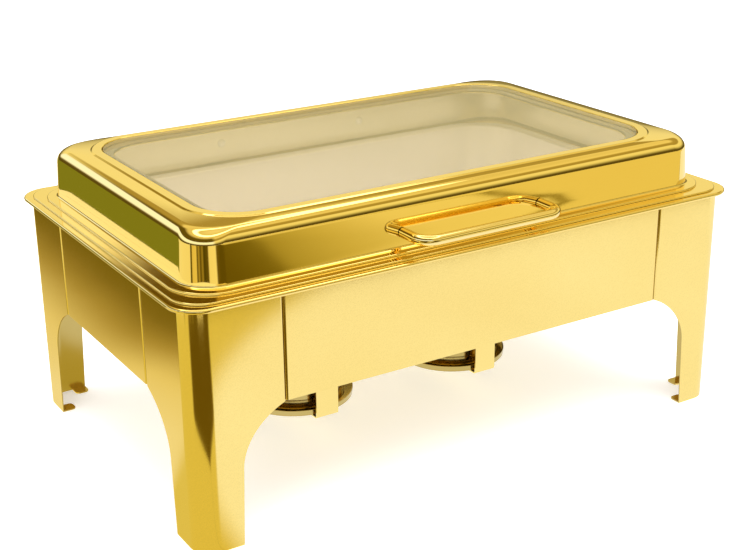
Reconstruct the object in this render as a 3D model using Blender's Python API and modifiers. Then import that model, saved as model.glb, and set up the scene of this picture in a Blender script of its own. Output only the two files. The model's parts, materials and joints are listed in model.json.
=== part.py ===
"""A rectangular hinged-lid chafing dish, modelled as the pieces it is put together from.

Metres, +Z up. The feet stand on Z = 0, the lid opens towards +Y and the handle faces -Y.
"""
import math

import bmesh
import bpy
from mathutils import Vector

# ---------------------------------------------------------------- driving dimensions
GAP = 0.0003  # left between pieces that touch

# the serving pan sets the size of everything round it
FOOD_PAN_LENGTH = 0.530
FOOD_PAN_WIDTH = 0.325
FOOD_PAN_FLANGE = 0.0125
FOOD_PAN_DEEP = 0.065
FOOD_PAN_FLOOR_RADIUS = 0.014
PAN_SHEET = 0.0008
PAN_DRAFT = 0.0045
PAN_CLEARANCE = 0.0032
WATER_PAN_EDGE_INSET = 0.0070
WATER_PAN_EDGE_HEIGHT = 0.0014
WATER_PAN_DEPTH = 0.095
WATER_PAN_FLOOR_RADIUS = 0.012

# lid
LID_CLEARANCE_X = 0.0090
LID_CLEARANCE_Y = 0.0055
LID_WALL_RADIUS = 0.030
LID_FLANGE = 0.0105
LID_FLANGE_HEIGHT = 0.0016
LID_SHEET = 0.0008
LID_DRAFT = 0.0015
LID_WALL_HEIGHT = 0.0336
LID_SHOULDER_RADIUS = 0.013
LID_DOME_RISE = 0.0033
WINDOW_INSET_X = 0.0345
WINDOW_INSET_Y = 0.0265
WINDOW_RADIUS = 0.045
CREASE_BAND = 0.0100
CREASE_RADIUS = 0.055
GLASS_THICKNESS = 0.0040
GLASS_SIDE_CLEARANCE = 0.0006
GLASS_BELOW_TOP = 0.0004
GASKET_THICKNESS = 0.0012
GASKET_MARGIN = 0.0010
SEAT_WIDTH = 0.0105

# frame: four legs, four panels and a rolled top rim
LEDGE_TOP = 0.2240
BODY_MARGIN_X = 0.017
BODY_MARGIN_Y = 0.020
BODY_CORNER_RADIUS = 0.020
FRAME_SHEET = 0.0010
PANEL_HEIGHT = 0.0988
LEG_ARM_X = 0.086
LEG_ARM_Y = 0.093
SEAM_RETURN = 0.009
SEAM_BEND = 0.0022
FRONT_FOOT_WIDTH = 0.041
SIDE_FOOT_WIDTH = 0.047
FOOT_TAPER = 0.003
ARCH_HEIGHT = 0.054
ARCH_LIFT = 0.024
ARCH_RUN = 0.024
ARCH_DROP = 0.0093
FOOT_TAB_WIDTH = 0.014
FOOT_TAB_REACH = 0.014
FOOT_TAB_THICKNESS = 0.0014
RIM_OVERHANG = 0.0079
RIM_BEAD_RADIUS = 0.0020
RIM_SHEET = 0.0009
RIM_LEDGE_INWARD = 0.018
RIM_LIP_DEPTH = 0.011

# handle
HANDLE_SPAN = 0.150
HANDLE_REACH = 0.032
HANDLE_DIAMETER = 0.0095
HANDLE_BEND_RADIUS = 0.015
HANDLE_ABOVE_FLANGE = 0.0139
SCREW_RADIUS = 0.0020
SCREW_BITE = 0.0090
SCREW_HEAD_RADIUS = 0.0040
SCREW_HEAD_HEIGHT = 0.0022
WASHER_RADIUS = 0.0055
WASHER_THICKNESS = 0.0008
HOLE_CLEARANCE = 0.0003

# hinges
HINGE_X = 0.085
HINGE_WIDTH = 0.030
HINGE_MIDDLE = 0.0100
HINGE_AXIS_OUT = 0.0012
HINGE_AXIS_UP = 0.0063
HINGE_LEAF = 0.0012
HINGE_PIN_RADIUS = 0.0015
HINGE_KNUCKLE_RADIUS = 0.0033
HINGE_SLIT = 0.0004
LEAF_TOP_ABOVE_FLANGE = 0.0269
RIVET_ABOVE_FLANGE = 0.0204
RIVET_RADIUS = 0.0022
RIVET_HEAD_RADIUS = 0.0045
RIVET_HEAD_HEIGHT = 0.0016
PAN_RIVET_SPREAD = 0.0200
PAN_RIVET_RADIUS = 0.0013
PAN_RIVET_HEAD_RADIUS = 0.0024
PAN_RIVET_HEAD_HEIGHT = 0.0010

# burners
BURNER_X = 0.0945
STRAP_WIDTH = 0.0243
STRAP_SHEET = 0.0015
STRAP_BOTTOM = 0.0265
STRAP_TAB = 0.018
STRAP_BEND = 0.0030
STRAP_TRAY_GAP = 0.0055
TRAY_SHEET = 0.0010
TRAY_WALL = 0.0050
TRAY_EDGE_WIDTH = 0.0095
TRAY_DISH_STEP = 0.0012
CUP_RADIUS = 0.0460
CUP_HEIGHT = 0.0500
CUP_SHEET = 0.0009
CUP_TRAY_CLEARANCE = 0.0015
CAP_SKIRT = 0.0070
CAP_SHEET = 0.0008
CAP_OPENING_RADIUS = 0.0240
DAMPER_OVERLAP = 0.0030
DAMPER_SHEET = 0.0010
DAMPER_PIVOT_INSET = 0.0100
DAMPER_LUG_RADIUS = 0.0060
DAMPER_TAB_LENGTH = 0.0180
DAMPER_TAB_WIDTH = 0.0090
DAMPER_RIVET_RADIUS = 0.0016

CORNER_STEPS = 6
TURN_STEPS = 24
SMOOTH_ANGLE = math.radians(32)

# ---------------------------------------------------------------- derived places
FOOD_HALF_X = FOOD_PAN_LENGTH / 2
FOOD_HALF_Y = FOOD_PAN_WIDTH / 2
LID_HALF_X = FOOD_HALF_X + LID_CLEARANCE_X
LID_HALF_Y = FOOD_HALF_Y + LID_CLEARANCE_Y
HALF_X = LID_HALF_X + BODY_MARGIN_X
HALF_Y = LID_HALF_Y + BODY_MARGIN_Y
FRONT_SEAM_X = HALF_X - LEG_ARM_X
SIDE_SEAM_Y = HALF_Y - LEG_ARM_Y

RIM_BOTTOM = LEDGE_TOP - 2 * RIM_BEAD_RADIUS
PANEL_TOP = LEDGE_TOP - RIM_SHEET - GAP
PANEL_BOTTOM = PANEL_TOP - PANEL_HEIGHT
ARCH_SPRING = PANEL_BOTTOM - ARCH_HEIGHT
RIM_HALF_X = HALF_X + RIM_OVERHANG
RIM_HALF_Y = HALF_Y + RIM_OVERHANG
RIM_RADIUS = BODY_CORNER_RADIUS + RIM_OVERHANG

WATER_FLANGE_TOP = LEDGE_TOP + GAP + WATER_PAN_EDGE_HEIGHT
WATER_HALF_X = RIM_HALF_X - WATER_PAN_EDGE_INSET
WATER_HALF_Y = RIM_HALF_Y - WATER_PAN_EDGE_INSET
WATER_RADIUS = RIM_RADIUS - WATER_PAN_EDGE_INSET + 0.008
WATER_PAN_BOTTOM = WATER_FLANGE_TOP - WATER_PAN_DEPTH
FOOD_OPENING_X = FOOD_HALF_X - FOOD_PAN_FLANGE
FOOD_OPENING_Y = FOOD_HALF_Y - FOOD_PAN_FLANGE
FOOD_FLANGE_TOP = WATER_FLANGE_TOP + GAP + PAN_SHEET
WATER_OPENING_X = FOOD_OPENING_X + PAN_SHEET + PAN_CLEARANCE
WATER_OPENING_Y = FOOD_OPENING_Y + PAN_SHEET + PAN_CLEARANCE

LID_BOTTOM = WATER_FLANGE_TOP + GAP
LID_FLANGE_TOP = LID_BOTTOM + LID_FLANGE_HEIGHT
SHOULDER_START = LID_FLANGE_TOP + LID_WALL_HEIGHT
LID_TOP = SHOULDER_START + LID_SHOULDER_RADIUS + LID_DOME_RISE
WINDOW_HALF_X = LID_HALF_X - WINDOW_INSET_X
WINDOW_HALF_Y = LID_HALF_Y - WINDOW_INSET_Y
GLASS_TOP = LID_TOP - GLASS_BELOW_TOP
GLASS_BOTTOM = GLASS_TOP - GLASS_THICKNESS
GASKET_TOP = GLASS_BOTTOM - GAP
SEAT_TOP = GASKET_TOP - GASKET_THICKNESS - GAP
HANDLE_HEIGHT = LID_FLANGE_TOP + HANDLE_ABOVE_FLANGE
LID_LEAF_TOP = LID_FLANGE_TOP + LEAF_TOP_ABOVE_FLANGE
LID_LEAF_RIVET_HEIGHT = LID_FLANGE_TOP + RIVET_ABOVE_FLANGE

HINGE_Y = WATER_HALF_Y + HINGE_AXIS_OUT
HINGE_Z = WATER_FLANGE_TOP + HINGE_AXIS_UP
HANDLE_FRONT = LID_HALF_Y + HANDLE_REACH + HANDLE_DIAMETER / 2
CENTRE_Y = (HANDLE_FRONT - RIM_HALF_Y) / 2

TRAY_DISH_RADIUS = CUP_RADIUS + CUP_TRAY_CLEARANCE
TRAY_RADIUS = TRAY_DISH_RADIUS + TRAY_EDGE_WIDTH
STRAP_ARM_Y = TRAY_RADIUS + STRAP_TRAY_GAP
STRAP_RUN_BOTTOM = WATER_PAN_BOTTOM - 0.001 - STRAP_SHEET
TRAY_BOTTOM = STRAP_BOTTOM + STRAP_SHEET + GAP
CUP_BOTTOM = TRAY_BOTTOM + TRAY_SHEET + GAP
CUP_TOP = CUP_BOTTOM + CUP_HEIGHT
CAP_TOP = CUP_TOP + GAP + CAP_SHEET
DAMPER_RADIUS = CAP_OPENING_RADIUS + DAMPER_OVERLAP
DAMPER_PIVOT_Y = CUP_RADIUS - DAMPER_PIVOT_INSET
DAMPER_BOTTOM = CAP_TOP + GAP


# ---------------------------------------------------------------- scene and materials
def clear_scene():
    for item in list(bpy.data.objects):
        bpy.data.objects.remove(item, do_unlink=True)


def new_collection(name):
    group = bpy.data.collections.new(name)
    bpy.context.scene.collection.children.link(group)
    return group


def principled(name, colour, roughness, metallic, alpha=1.0):
    material = bpy.data.materials.new(name)
    material.use_nodes = True
    shader = material.node_tree.nodes["Principled BSDF"]
    shader.inputs["Base Color"].default_value = (*colour, 1.0)
    shader.inputs["Roughness"].default_value = roughness
    shader.inputs["Metallic"].default_value = metallic
    shader.inputs["Alpha"].default_value = alpha
    material.diffuse_color = (*colour, alpha)
    return material


clear_scene()
PARTS = new_collection("chafing_dish")
CUTTERS = new_collection("cutters")

FINISHES = {
    "polished_gold": ((0.86, 0.65, 0.22), 0.14, 1.0, 1.0),
    "satin_gold": ((0.84, 0.64, 0.24), 0.26, 1.0, 1.0),
    "steel": ((0.74, 0.71, 0.64), 0.24, 1.0, 1.0),
    "glass": ((0.93, 0.94, 0.90), 0.03, 0.0, 0.25),
    "silicone": ((0.42, 0.37, 0.28), 0.55, 0.0, 1.0),
}


def finish(name, kind):
    """A material of the named finish that belongs to one piece."""
    colour, roughness, metallic, alpha = FINISHES[kind]
    return principled(name + "_finish", colour, roughness, metallic, alpha)


def axis_empty(name, place, parent=None):
    """An empty at a model-space place, which its children move with."""
    empty = bpy.data.objects.new(name, None)
    empty.empty_display_size = 0.02
    PARTS.objects.link(empty)
    empty["place"] = tuple(place)
    empty.parent = parent
    origin = Vector(parent["place"]) if parent else Vector((0.0, -CENTRE_Y, 0.0))
    empty.location = Vector(place) - origin
    return empty


def attach(piece, parent, place=(0.0, 0.0, 0.0)):
    piece.parent = parent
    piece.location = Vector(place) - Vector(parent["place"])
    return piece


# ---------------------------------------------------------------- shape helpers
def corner_arc(centre_x, centre_y, radius, start, sweep, steps):
    """Points on an arc, both ends included."""
    points = []
    for index in range(steps + 1):
        angle = start + sweep * index / steps
        points.append((centre_x + radius * math.cos(angle), centre_y + radius * math.sin(angle)))
    return points


def rounded_rectangle(half_x, half_y, radius, steps=CORNER_STEPS):
    """A rounded rectangle's outline, anticlockwise from above."""
    points = []
    corners = ((1, 1, 0.0), (-1, 1, 0.5), (-1, -1, 1.0), (1, -1, 1.5))
    for side_x, side_y, turn in corners:
        centre_x = side_x * (half_x - radius)
        centre_y = side_y * (half_y - radius)
        points += corner_arc(centre_x, centre_y, radius, turn * math.pi, math.pi / 2, steps)
    return points


def rounded_path(corners, radius, steps=3):
    """An open path through the corners, with each inner corner rounded."""
    path = [Vector(corners[0])]
    for before, here, after in zip(corners, corners[1:], corners[2:]):
        corner = Vector(here)
        into = (corner - Vector(before)).normalized()
        out = (Vector(after) - corner).normalized()
        turn = into.angle(out)
        setback = radius * math.tan(turn / 2)
        start = corner - into * setback
        end = corner + out * setback
        for index in range(steps + 1):
            share = index / steps
            straight = start.lerp(corner, share)
            path.append(straight.lerp(corner.lerp(end, share), share))
    path.append(Vector(corners[-1]))
    return path


def shade(mesh):
    mesh.shade_smooth()
    mesh.set_sharp_from_angle(angle=SMOOTH_ANGLE)


def mesh_piece(name, bm, kind, parent, place=(0.0, 0.0, 0.0)):
    """A new object from a bmesh whose points are given relative to its place."""
    mesh = bpy.data.meshes.new(name)
    bm.to_mesh(mesh)
    bm.free()
    shade(mesh)
    mesh.materials.append(finish(name, kind))
    piece = bpy.data.objects.new(name, mesh)
    PARTS.objects.link(piece)
    return attach(piece, parent, place)


def give_thickness(piece, thickness):
    """Thickens an open surface away from its outer side."""
    solidify = piece.modifiers.new("Sheet", "SOLIDIFY")
    solidify.thickness = thickness
    solidify.offset = -1.0
    solidify.use_even_offset = True
    return piece


def loft(name, rings, kind, parent, sheet, closed_floor=False):
    """Sheet metal through rounded-rectangle rings of (half_x, half_y, radius, z)."""
    bm = bmesh.new()
    loops = []
    for half_x, half_y, radius, height in rings:
        outline = rounded_rectangle(half_x, half_y, radius)
        loops.append([bm.verts.new((x, y, height)) for x, y in outline])
    count = len(loops[0])
    for lower, upper in zip(loops, loops[1:]):
        for index in range(count):
            after = (index + 1) % count
            bm.faces.new((lower[index], lower[after], upper[after], upper[index]))
    if closed_floor:
        bm.faces.new(loops[-1])
    return give_thickness(mesh_piece(name, bm, kind, parent), sheet)


def folded_strip(name, path, low, high, along, kind, parent, sheet, place=(0.0, 0.0, 0.0)):
    """Sheet metal folded along a path and drawn out in one direction.

    along is "z" for a path in X and Y, or "x" for a path in Y and Z.
    """
    bm = bmesh.new()
    if along == "z":
        near = [bm.verts.new((u, v, low)) for u, v in path]
        far = [bm.verts.new((u, v, high)) for u, v in path]
    else:
        near = [bm.verts.new((low, u, v)) for u, v in path]
        far = [bm.verts.new((high, u, v)) for u, v in path]
    for index in range(len(path) - 1):
        bm.faces.new((near[index], near[index + 1], far[index + 1], far[index]))
    return give_thickness(mesh_piece(name, bm, kind, parent, place), sheet)


def turned(name, profile, kind, parent, place, closed=False, steps=TURN_STEPS):
    """A turned piece from a profile of (radius, height) that runs down its outer side."""
    mesh = bpy.data.meshes.new(name)
    edges = [(index, index + 1) for index in range(len(profile) - 1)]
    if closed:
        edges.append((len(profile) - 1, 0))
    mesh.from_pydata([(radius, 0.0, height) for radius, height in profile], edges, [])
    mesh.materials.append(finish(name, kind))
    piece = bpy.data.objects.new(name, mesh)
    PARTS.objects.link(piece)
    screw = piece.modifiers.new("Turn", "SCREW")
    screw.axis = "Z"
    screw.steps = steps
    screw.render_steps = steps
    screw.use_merge_vertices = True
    screw.merge_threshold = 0.00005
    screw.use_smooth_shade = True
    return attach(piece, parent, place)


def flat_curve(name, outlines, thickness):
    """A filled flat curve, thickness apart on both sides of its plane."""
    curve = bpy.data.curves.new(name, "CURVE")
    curve.dimensions = "2D"
    curve.fill_mode = "BOTH"
    curve.extrude = thickness / 2
    for outline in outlines:
        spline = curve.splines.new("POLY")
        spline.points.add(len(outline) - 1)
        for point, (u, v) in zip(spline.points, outline):
            point.co = (u, v, 0.0, 1.0)
        spline.use_cyclic_u = True
    return curve


def flat_piece(name, outlines, thickness, kind, parent, place, turn=(0.0, 0.0, 0.0)):
    """A flat outline drawn out evenly on both sides of its place."""
    curve = flat_curve(name, outlines, thickness)
    curve.materials.append(finish(name, kind))
    piece = bpy.data.objects.new(name, curve)
    PARTS.objects.link(piece)
    piece.rotation_euler = turn
    return attach(piece, parent, place)


def as_mesh(piece):
    """Replaces a curve object with the closed mesh that it makes."""
    bpy.context.view_layer.update()
    view = piece.evaluated_get(bpy.context.evaluated_depsgraph_get())
    mesh = bpy.data.meshes.new_from_object(view)
    bm = bmesh.new()
    bm.from_mesh(mesh)
    bmesh.ops.remove_doubles(bm, verts=bm.verts[:], dist=0.00001)
    bmesh.ops.recalc_face_normals(bm, faces=bm.faces[:])
    bm.to_mesh(mesh)
    bm.free()
    shade(mesh)
    name = piece.name
    group = piece.users_collection[0]
    parent, place, turn = piece.parent, piece.location.copy(), piece.rotation_euler.copy()
    bpy.data.objects.remove(piece, do_unlink=True)
    solid = bpy.data.objects.new(name, mesh)
    group.objects.link(solid)
    solid.parent = parent
    solid.location = place
    solid.rotation_euler = turn
    return solid


def hide_cutter(cutter):
    for group in list(cutter.users_collection):
        group.objects.unlink(cutter)
    CUTTERS.objects.link(cutter)
    cutter.hide_render = True
    cutter.display_type = "WIRE"
    return cutter


def combine(piece, tool, operation):
    boolean = piece.modifiers.new(operation.title(), "BOOLEAN")
    boolean.operation = operation
    boolean.solver = "EXACT"
    boolean.object = tool


def round_bar(name, radius, length, place, turn, parent, sides=16):
    """A plain cylinder along its own Z, centred on its place."""
    bm = bmesh.new()
    bmesh.ops.create_cone(bm, cap_ends=True, segments=sides, radius1=radius, radius2=radius, depth=length)
    piece = mesh_piece(name, bm, "steel", parent, place)
    piece.rotation_euler = turn
    return piece


def block(name, size, place, parent):
    """A plain box centred on its place."""
    bm = bmesh.new()
    bmesh.ops.create_cube(bm, size=1.0)
    bmesh.ops.scale(bm, vec=size, verts=bm.verts[:])
    return mesh_piece(name, bm, "steel", parent, place)


TURN_TO_Y = (math.radians(90), 0.0, 0.0)
TURN_TO_X = (0.0, math.radians(90), 0.0)
PLANE_YZ = (math.radians(90), 0.0, math.radians(90))

ROOT = axis_empty("chafer_centre", (0.0, 0.0, 0.0))
WATER_AXIS = axis_empty("water_pan_lift", (0.0, 0.0, WATER_FLANGE_TOP), ROOT)
FOOD_AXIS = axis_empty("food_pan_lift", (0.0, 0.0, FOOD_FLANGE_TOP), WATER_AXIS)
LID_AXIS = axis_empty("lid_hinge_axis", (0.0, HINGE_Y, HINGE_Z), WATER_AXIS)


# ---------------------------------------------------------------- frame
def arch_outline(arm_end, foot_width, corner):
    """The area cut away below one face of a leg, as (distance along the face, height)."""
    foot_top = corner - foot_width - FOOT_TAPER
    start = Vector((foot_top, ARCH_SPRING))
    lift = Vector((foot_top, ARCH_SPRING + ARCH_LIFT))
    run = Vector((arm_end + ARCH_RUN, PANEL_BOTTOM - ARCH_DROP))
    end = Vector((arm_end, PANEL_BOTTOM))
    below = -0.004
    past_arm = arm_end - 0.006
    outline = [(corner - foot_width, below)]
    steps = 10
    for index in range(steps + 1):
        t = index / steps
        point = start * (1 - t) ** 3 + lift * 3 * t * (1 - t) ** 2 + run * 3 * t * t * (1 - t) + end * t ** 3
        outline.append((point.x, point.y))
    outline.append((past_arm, PANEL_BOTTOM))
    outline.append((past_arm, below))
    return outline


def leg(name, side_x, side_y):
    """One corner leg: two faces round a bent corner, arched below, with a foot tab on each."""
    arm_x = FRONT_SEAM_X + GAP / 2
    arm_y = SIDE_SEAM_Y + GAP / 2
    path = rounded_path([(arm_x, HALF_Y - SEAM_RETURN), (arm_x, HALF_Y), (HALF_X - 0.03, HALF_Y)], SEAM_BEND)[:-1]
    path += [Vector(p) for p in corner_arc(HALF_X - BODY_CORNER_RADIUS, HALF_Y - BODY_CORNER_RADIUS,
                                           BODY_CORNER_RADIUS, math.pi / 2, -math.pi / 2, 8)]
    path += rounded_path([(HALF_X, HALF_Y - 0.03), (HALF_X, arm_y), (HALF_X - SEAM_RETURN, arm_y)], SEAM_BEND)[1:]
    placed = [(side_x * x, side_y * y) for x, y in path]
    if side_x * side_y > 0:
        placed.reverse()
    piece = folded_strip(name, placed, 0.0, PANEL_TOP, "z", "satin_gold", ROOT, FRAME_SHEET)

    front = flat_curve(name + "_front_arch", [arch_outline(FRONT_SEAM_X, FRONT_FOOT_WIDTH, HALF_X)], 0.028)
    front_cut = bpy.data.objects.new(name + "_front_arch", front)
    CUTTERS.objects.link(front_cut)
    front_cut.rotation_euler = TURN_TO_Y if side_x > 0 else (math.radians(90), 0.0, math.pi)
    attach(front_cut, ROOT, (0.0, side_y * HALF_Y, 0.0))

    side = flat_curve(name + "_side_arch", [arch_outline(SIDE_SEAM_Y, SIDE_FOOT_WIDTH, HALF_Y)], 0.028)
    side_cut = bpy.data.objects.new(name + "_side_arch", side)
    CUTTERS.objects.link(side_cut)
    side_cut.rotation_euler = (math.radians(90), 0.0, side_y * math.pi / 2)
    attach(side_cut, ROOT, (side_x * HALF_X, 0.0, 0.0))

    for cutter in (front_cut, side_cut):
        combine(piece, hide_cutter(as_mesh(cutter)), "DIFFERENCE")
    for tab in foot_tabs(name, side_x, side_y):
        combine(piece, hide_cutter(as_mesh(tab)), "UNION")
    return piece


def foot_tabs(name, side_x, side_y):
    """The two tabs bent inward at the inner ends of a leg's feet."""
    inset = FRAME_SHEET / 2
    half = FOOT_TAB_WIDTH / 2
    reach = FOOT_TAB_REACH
    round_end = 0.004
    outline = [(-half, 0.0), (half, 0.0), (half, reach - round_end)]
    outline += corner_arc(half - round_end, reach - round_end, round_end, 0.0, math.pi / 2, 3)[1:]
    outline += corner_arc(round_end - half, reach - round_end, round_end, math.pi / 2, math.pi / 2, 3)
    tabs = []
    front_x = side_x * (HALF_X - FRONT_FOOT_WIDTH + half)
    side_place_y = side_y * (HALF_Y - SIDE_FOOT_WIDTH + half)
    places = (
        ("_front_tab", (front_x, side_y * (HALF_Y - inset)), 0.0 if side_y < 0 else math.pi),
        ("_side_tab", (side_x * (HALF_X - inset), side_place_y), side_x * math.pi / 2),
    )
    for suffix, (x, y), turn in places:
        tab = bpy.data.objects.new(name + suffix, flat_curve(name + suffix, [outline], FOOT_TAB_THICKNESS))
        CUTTERS.objects.link(tab)
        tab.rotation_euler = (0.0, 0.0, turn)
        tabs.append(attach(tab, ROOT, (x, y, FOOT_TAB_THICKNESS / 2)))
    return tabs


def panel(name, half_width, distance, turn):
    """A flat panel between two legs, its ends folded inward at the seams."""
    end = half_width - GAP / 2
    path = rounded_path([(-end, SEAM_RETURN - distance), (-end, -distance), (end, -distance),
                         (end, SEAM_RETURN - distance)], SEAM_BEND)
    piece = folded_strip(name, path, PANEL_BOTTOM, PANEL_TOP, "z", "satin_gold", ROOT, FRAME_SHEET)
    piece.rotation_euler = (0.0, 0.0, turn)
    return piece


def frame_rim():
    """The rolled rim that hooks over the legs and panels and carries the water pan."""
    def ring(out, height):
        radius = BODY_CORNER_RADIUS + out
        return HALF_X + out, HALF_Y + out, max(radius, 0.006), height

    rings = [ring(GAP, RIM_BOTTOM)]
    bead_centre = RIM_OVERHANG - RIM_BEAD_RADIUS
    for step in range(5):
        angle = math.radians(-90 + 45 * step)
        out = bead_centre + RIM_BEAD_RADIUS * math.cos(angle)
        rings.append(ring(out, RIM_BOTTOM + RIM_BEAD_RADIUS * (1 + math.sin(angle))))
    rings.append(ring(0.001 - RIM_LEDGE_INWARD, LEDGE_TOP))
    rings.append(ring(-RIM_LEDGE_INWARD, LEDGE_TOP - 0.001))
    rings.append(ring(-RIM_LEDGE_INWARD, LEDGE_TOP - RIM_LIP_DEPTH))
    return loft("frame_rim", rings, "polished_gold", ROOT, RIM_SHEET)


# ---------------------------------------------------------------- pans
def pan_floor_rings(half_x, half_y, radius, top, bottom, floor_radius):
    """The rings of a drafted wall and a rounded floor, from just under the flange."""
    rings = []
    wall_end = bottom + floor_radius
    low_x = half_x - PAN_DRAFT
    low_y = half_y - PAN_DRAFT
    rings.append((half_x + 0.0022, half_y + 0.0022, radius + 0.0022, top))
    rings.append((half_x + 0.0006, half_y + 0.0006, radius + 0.0006, top - 0.0006))
    rings.append((half_x, half_y, radius, top - 0.0024))
    rings.append((low_x, low_y, radius - 0.002, wall_end))
    for angle in (30, 60, 90):
        inset = floor_radius * (1 - math.cos(math.radians(angle)))
        height = wall_end - floor_radius * math.sin(math.radians(angle))
        rings.append((low_x - inset, low_y - inset, radius - 0.002 - 0.5 * inset, height))
    return rings


def water_pan():
    """The deep pan that hangs in the rim by its flange and carries the lid."""
    edge = 0.0007
    bottom = LEDGE_TOP + GAP
    rings = [
        (WATER_HALF_X, WATER_HALF_Y, WATER_RADIUS, bottom),
        (WATER_HALF_X, WATER_HALF_Y, WATER_RADIUS, WATER_FLANGE_TOP - edge),
        (WATER_HALF_X - edge, WATER_HALF_Y - edge, WATER_RADIUS - edge, WATER_FLANGE_TOP),
    ]
    floor = WATER_PAN_BOTTOM + PAN_SHEET
    rings += pan_floor_rings(WATER_OPENING_X, WATER_OPENING_Y, 0.055, WATER_FLANGE_TOP, floor,
                             WATER_PAN_FLOOR_RADIUS)
    pan = loft("water_pan", rings, "polished_gold", WATER_AXIS, PAN_SHEET, closed_floor=True)
    for side in (-1, 1):
        for spread in (-1, 1):
            x = side * HINGE_X + spread * PAN_RIVET_SPREAD / 2
            hole = round_bar("water_pan_hole", PAN_RIVET_RADIUS + HOLE_CLEARANCE, 0.012,
                             (x, pan_rivet_y(), WATER_FLANGE_TOP), (0.0, 0.0, 0.0), ROOT, 12)
            combine(pan, hide_cutter(hole), "DIFFERENCE")
    return pan


def food_pan():
    """The serving pan, its flange resting on the water pan's flange."""
    bottom = WATER_FLANGE_TOP + GAP
    rings = [
        (FOOD_HALF_X, FOOD_HALF_Y, 0.062, bottom + PAN_SHEET * 0.4),
        (FOOD_HALF_X - 0.0004, FOOD_HALF_Y - 0.0004, 0.0616, FOOD_FLANGE_TOP),
    ]
    floor = FOOD_FLANGE_TOP - FOOD_PAN_DEEP + PAN_SHEET
    rings += pan_floor_rings(FOOD_OPENING_X, FOOD_OPENING_Y, 0.052, FOOD_FLANGE_TOP, floor,
                             FOOD_PAN_FLOOR_RADIUS)
    return loft("food_pan", rings, "steel", FOOD_AXIS, PAN_SHEET, closed_floor=True)


# ---------------------------------------------------------------- lid
def lid_wall_y(height):
    """The outer face of the lid's long walls at a height."""
    share = (height - LID_FLANGE_TOP) / LID_WALL_HEIGHT
    return LID_HALF_Y - LID_DRAFT * share


def lid_shell():
    """The lid: a stepped flange, drafted walls, a round shoulder and the window's seat."""
    def ring(out, height, radius):
        return LID_HALF_X + out, LID_HALF_Y + out, radius, height

    edge = 0.0007
    rings = [
        ring(LID_FLANGE, LID_BOTTOM, LID_WALL_RADIUS + LID_FLANGE),
        ring(LID_FLANGE, LID_FLANGE_TOP - edge, LID_WALL_RADIUS + LID_FLANGE),
        ring(LID_FLANGE - edge, LID_FLANGE_TOP, LID_WALL_RADIUS + LID_FLANGE - edge),
        ring(0.0022, LID_FLANGE_TOP, LID_WALL_RADIUS + 0.0022),
        ring(0.0006, LID_FLANGE_TOP + 0.0006, LID_WALL_RADIUS + 0.0006),
        ring(0.0, LID_FLANGE_TOP + 0.0024, LID_WALL_RADIUS),
    ]
    shoulder = LID_SHOULDER_RADIUS
    for angle in (0, 18, 36, 54, 72, 90):
        turn = math.radians(angle)
        inset = LID_DRAFT + shoulder * (1 - math.cos(turn))
        rings.append(ring(-inset, SHOULDER_START + shoulder * math.sin(turn), LID_WALL_RADIUS - 0.35 * inset))
    band_x = WINDOW_HALF_X + CREASE_BAND
    band_y = WINDOW_HALF_Y + CREASE_BAND
    roll = 0.0008
    rings += [
        (band_x + 0.0015, band_y + 0.0005, CREASE_RADIUS, LID_TOP - 0.0012),
        (band_x - 0.0005, band_y - 0.0010, CREASE_RADIUS - 0.001, LID_TOP),
        (WINDOW_HALF_X + roll, WINDOW_HALF_Y + roll, WINDOW_RADIUS + roll, LID_TOP),
        (WINDOW_HALF_X, WINDOW_HALF_Y, WINDOW_RADIUS, LID_TOP - roll),
        (WINDOW_HALF_X, WINDOW_HALF_Y, WINDOW_RADIUS, SEAT_TOP),
        (WINDOW_HALF_X - SEAT_WIDTH, WINDOW_HALF_Y - SEAT_WIDTH, WINDOW_RADIUS - 0.006, SEAT_TOP),
    ]
    shell = loft("lid_shell", rings, "polished_gold", LID_AXIS, LID_SHEET)
    holes = []
    for side in (-1, 1):
        holes.append((side * HANDLE_SPAN / 2, -LID_HALF_Y, HANDLE_HEIGHT, SCREW_RADIUS))
        holes.append((side * HINGE_X, LID_HALF_Y, LID_LEAF_RIVET_HEIGHT, RIVET_RADIUS))
    for x, y, height, radius in holes:
        hole = round_bar("lid_hole", radius + HOLE_CLEARANCE, 0.012, (x, y, height), TURN_TO_Y, ROOT, 12)
        combine(shell, hide_cutter(hole), "DIFFERENCE")
    return shell


def glass_pane():
    half_x = WINDOW_HALF_X - GLASS_SIDE_CLEARANCE
    half_y = WINDOW_HALF_Y - GLASS_SIDE_CLEARANCE
    outline = rounded_rectangle(half_x, half_y, WINDOW_RADIUS - GLASS_SIDE_CLEARANCE)
    return flat_piece("glass_pane", [outline], GLASS_THICKNESS, "glass", LID_AXIS,
                      (0.0, 0.0, GLASS_TOP - GLASS_THICKNESS / 2))


def glass_gasket():
    """The silicone ring that the glass is bedded on."""
    outer = WINDOW_HALF_X - GASKET_MARGIN, WINDOW_HALF_Y - GASKET_MARGIN
    inner_margin = SEAT_WIDTH - GASKET_MARGIN
    inner = WINDOW_HALF_X - inner_margin, WINDOW_HALF_Y - inner_margin
    outlines = [
        rounded_rectangle(*outer, WINDOW_RADIUS - GASKET_MARGIN),
        rounded_rectangle(*inner, WINDOW_RADIUS - 0.006),
    ]
    return flat_piece("glass_gasket", outlines, GASKET_THICKNESS, "silicone", LID_AXIS,
                      (0.0, 0.0, GASKET_TOP - GASKET_THICKNESS / 2))


# ---------------------------------------------------------------- handle
def handle_end_y():
    """Where the handle's ends meet the lid's front wall."""
    return -lid_wall_y(HANDLE_HEIGHT - HANDLE_DIAMETER / 2) - GAP


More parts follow.
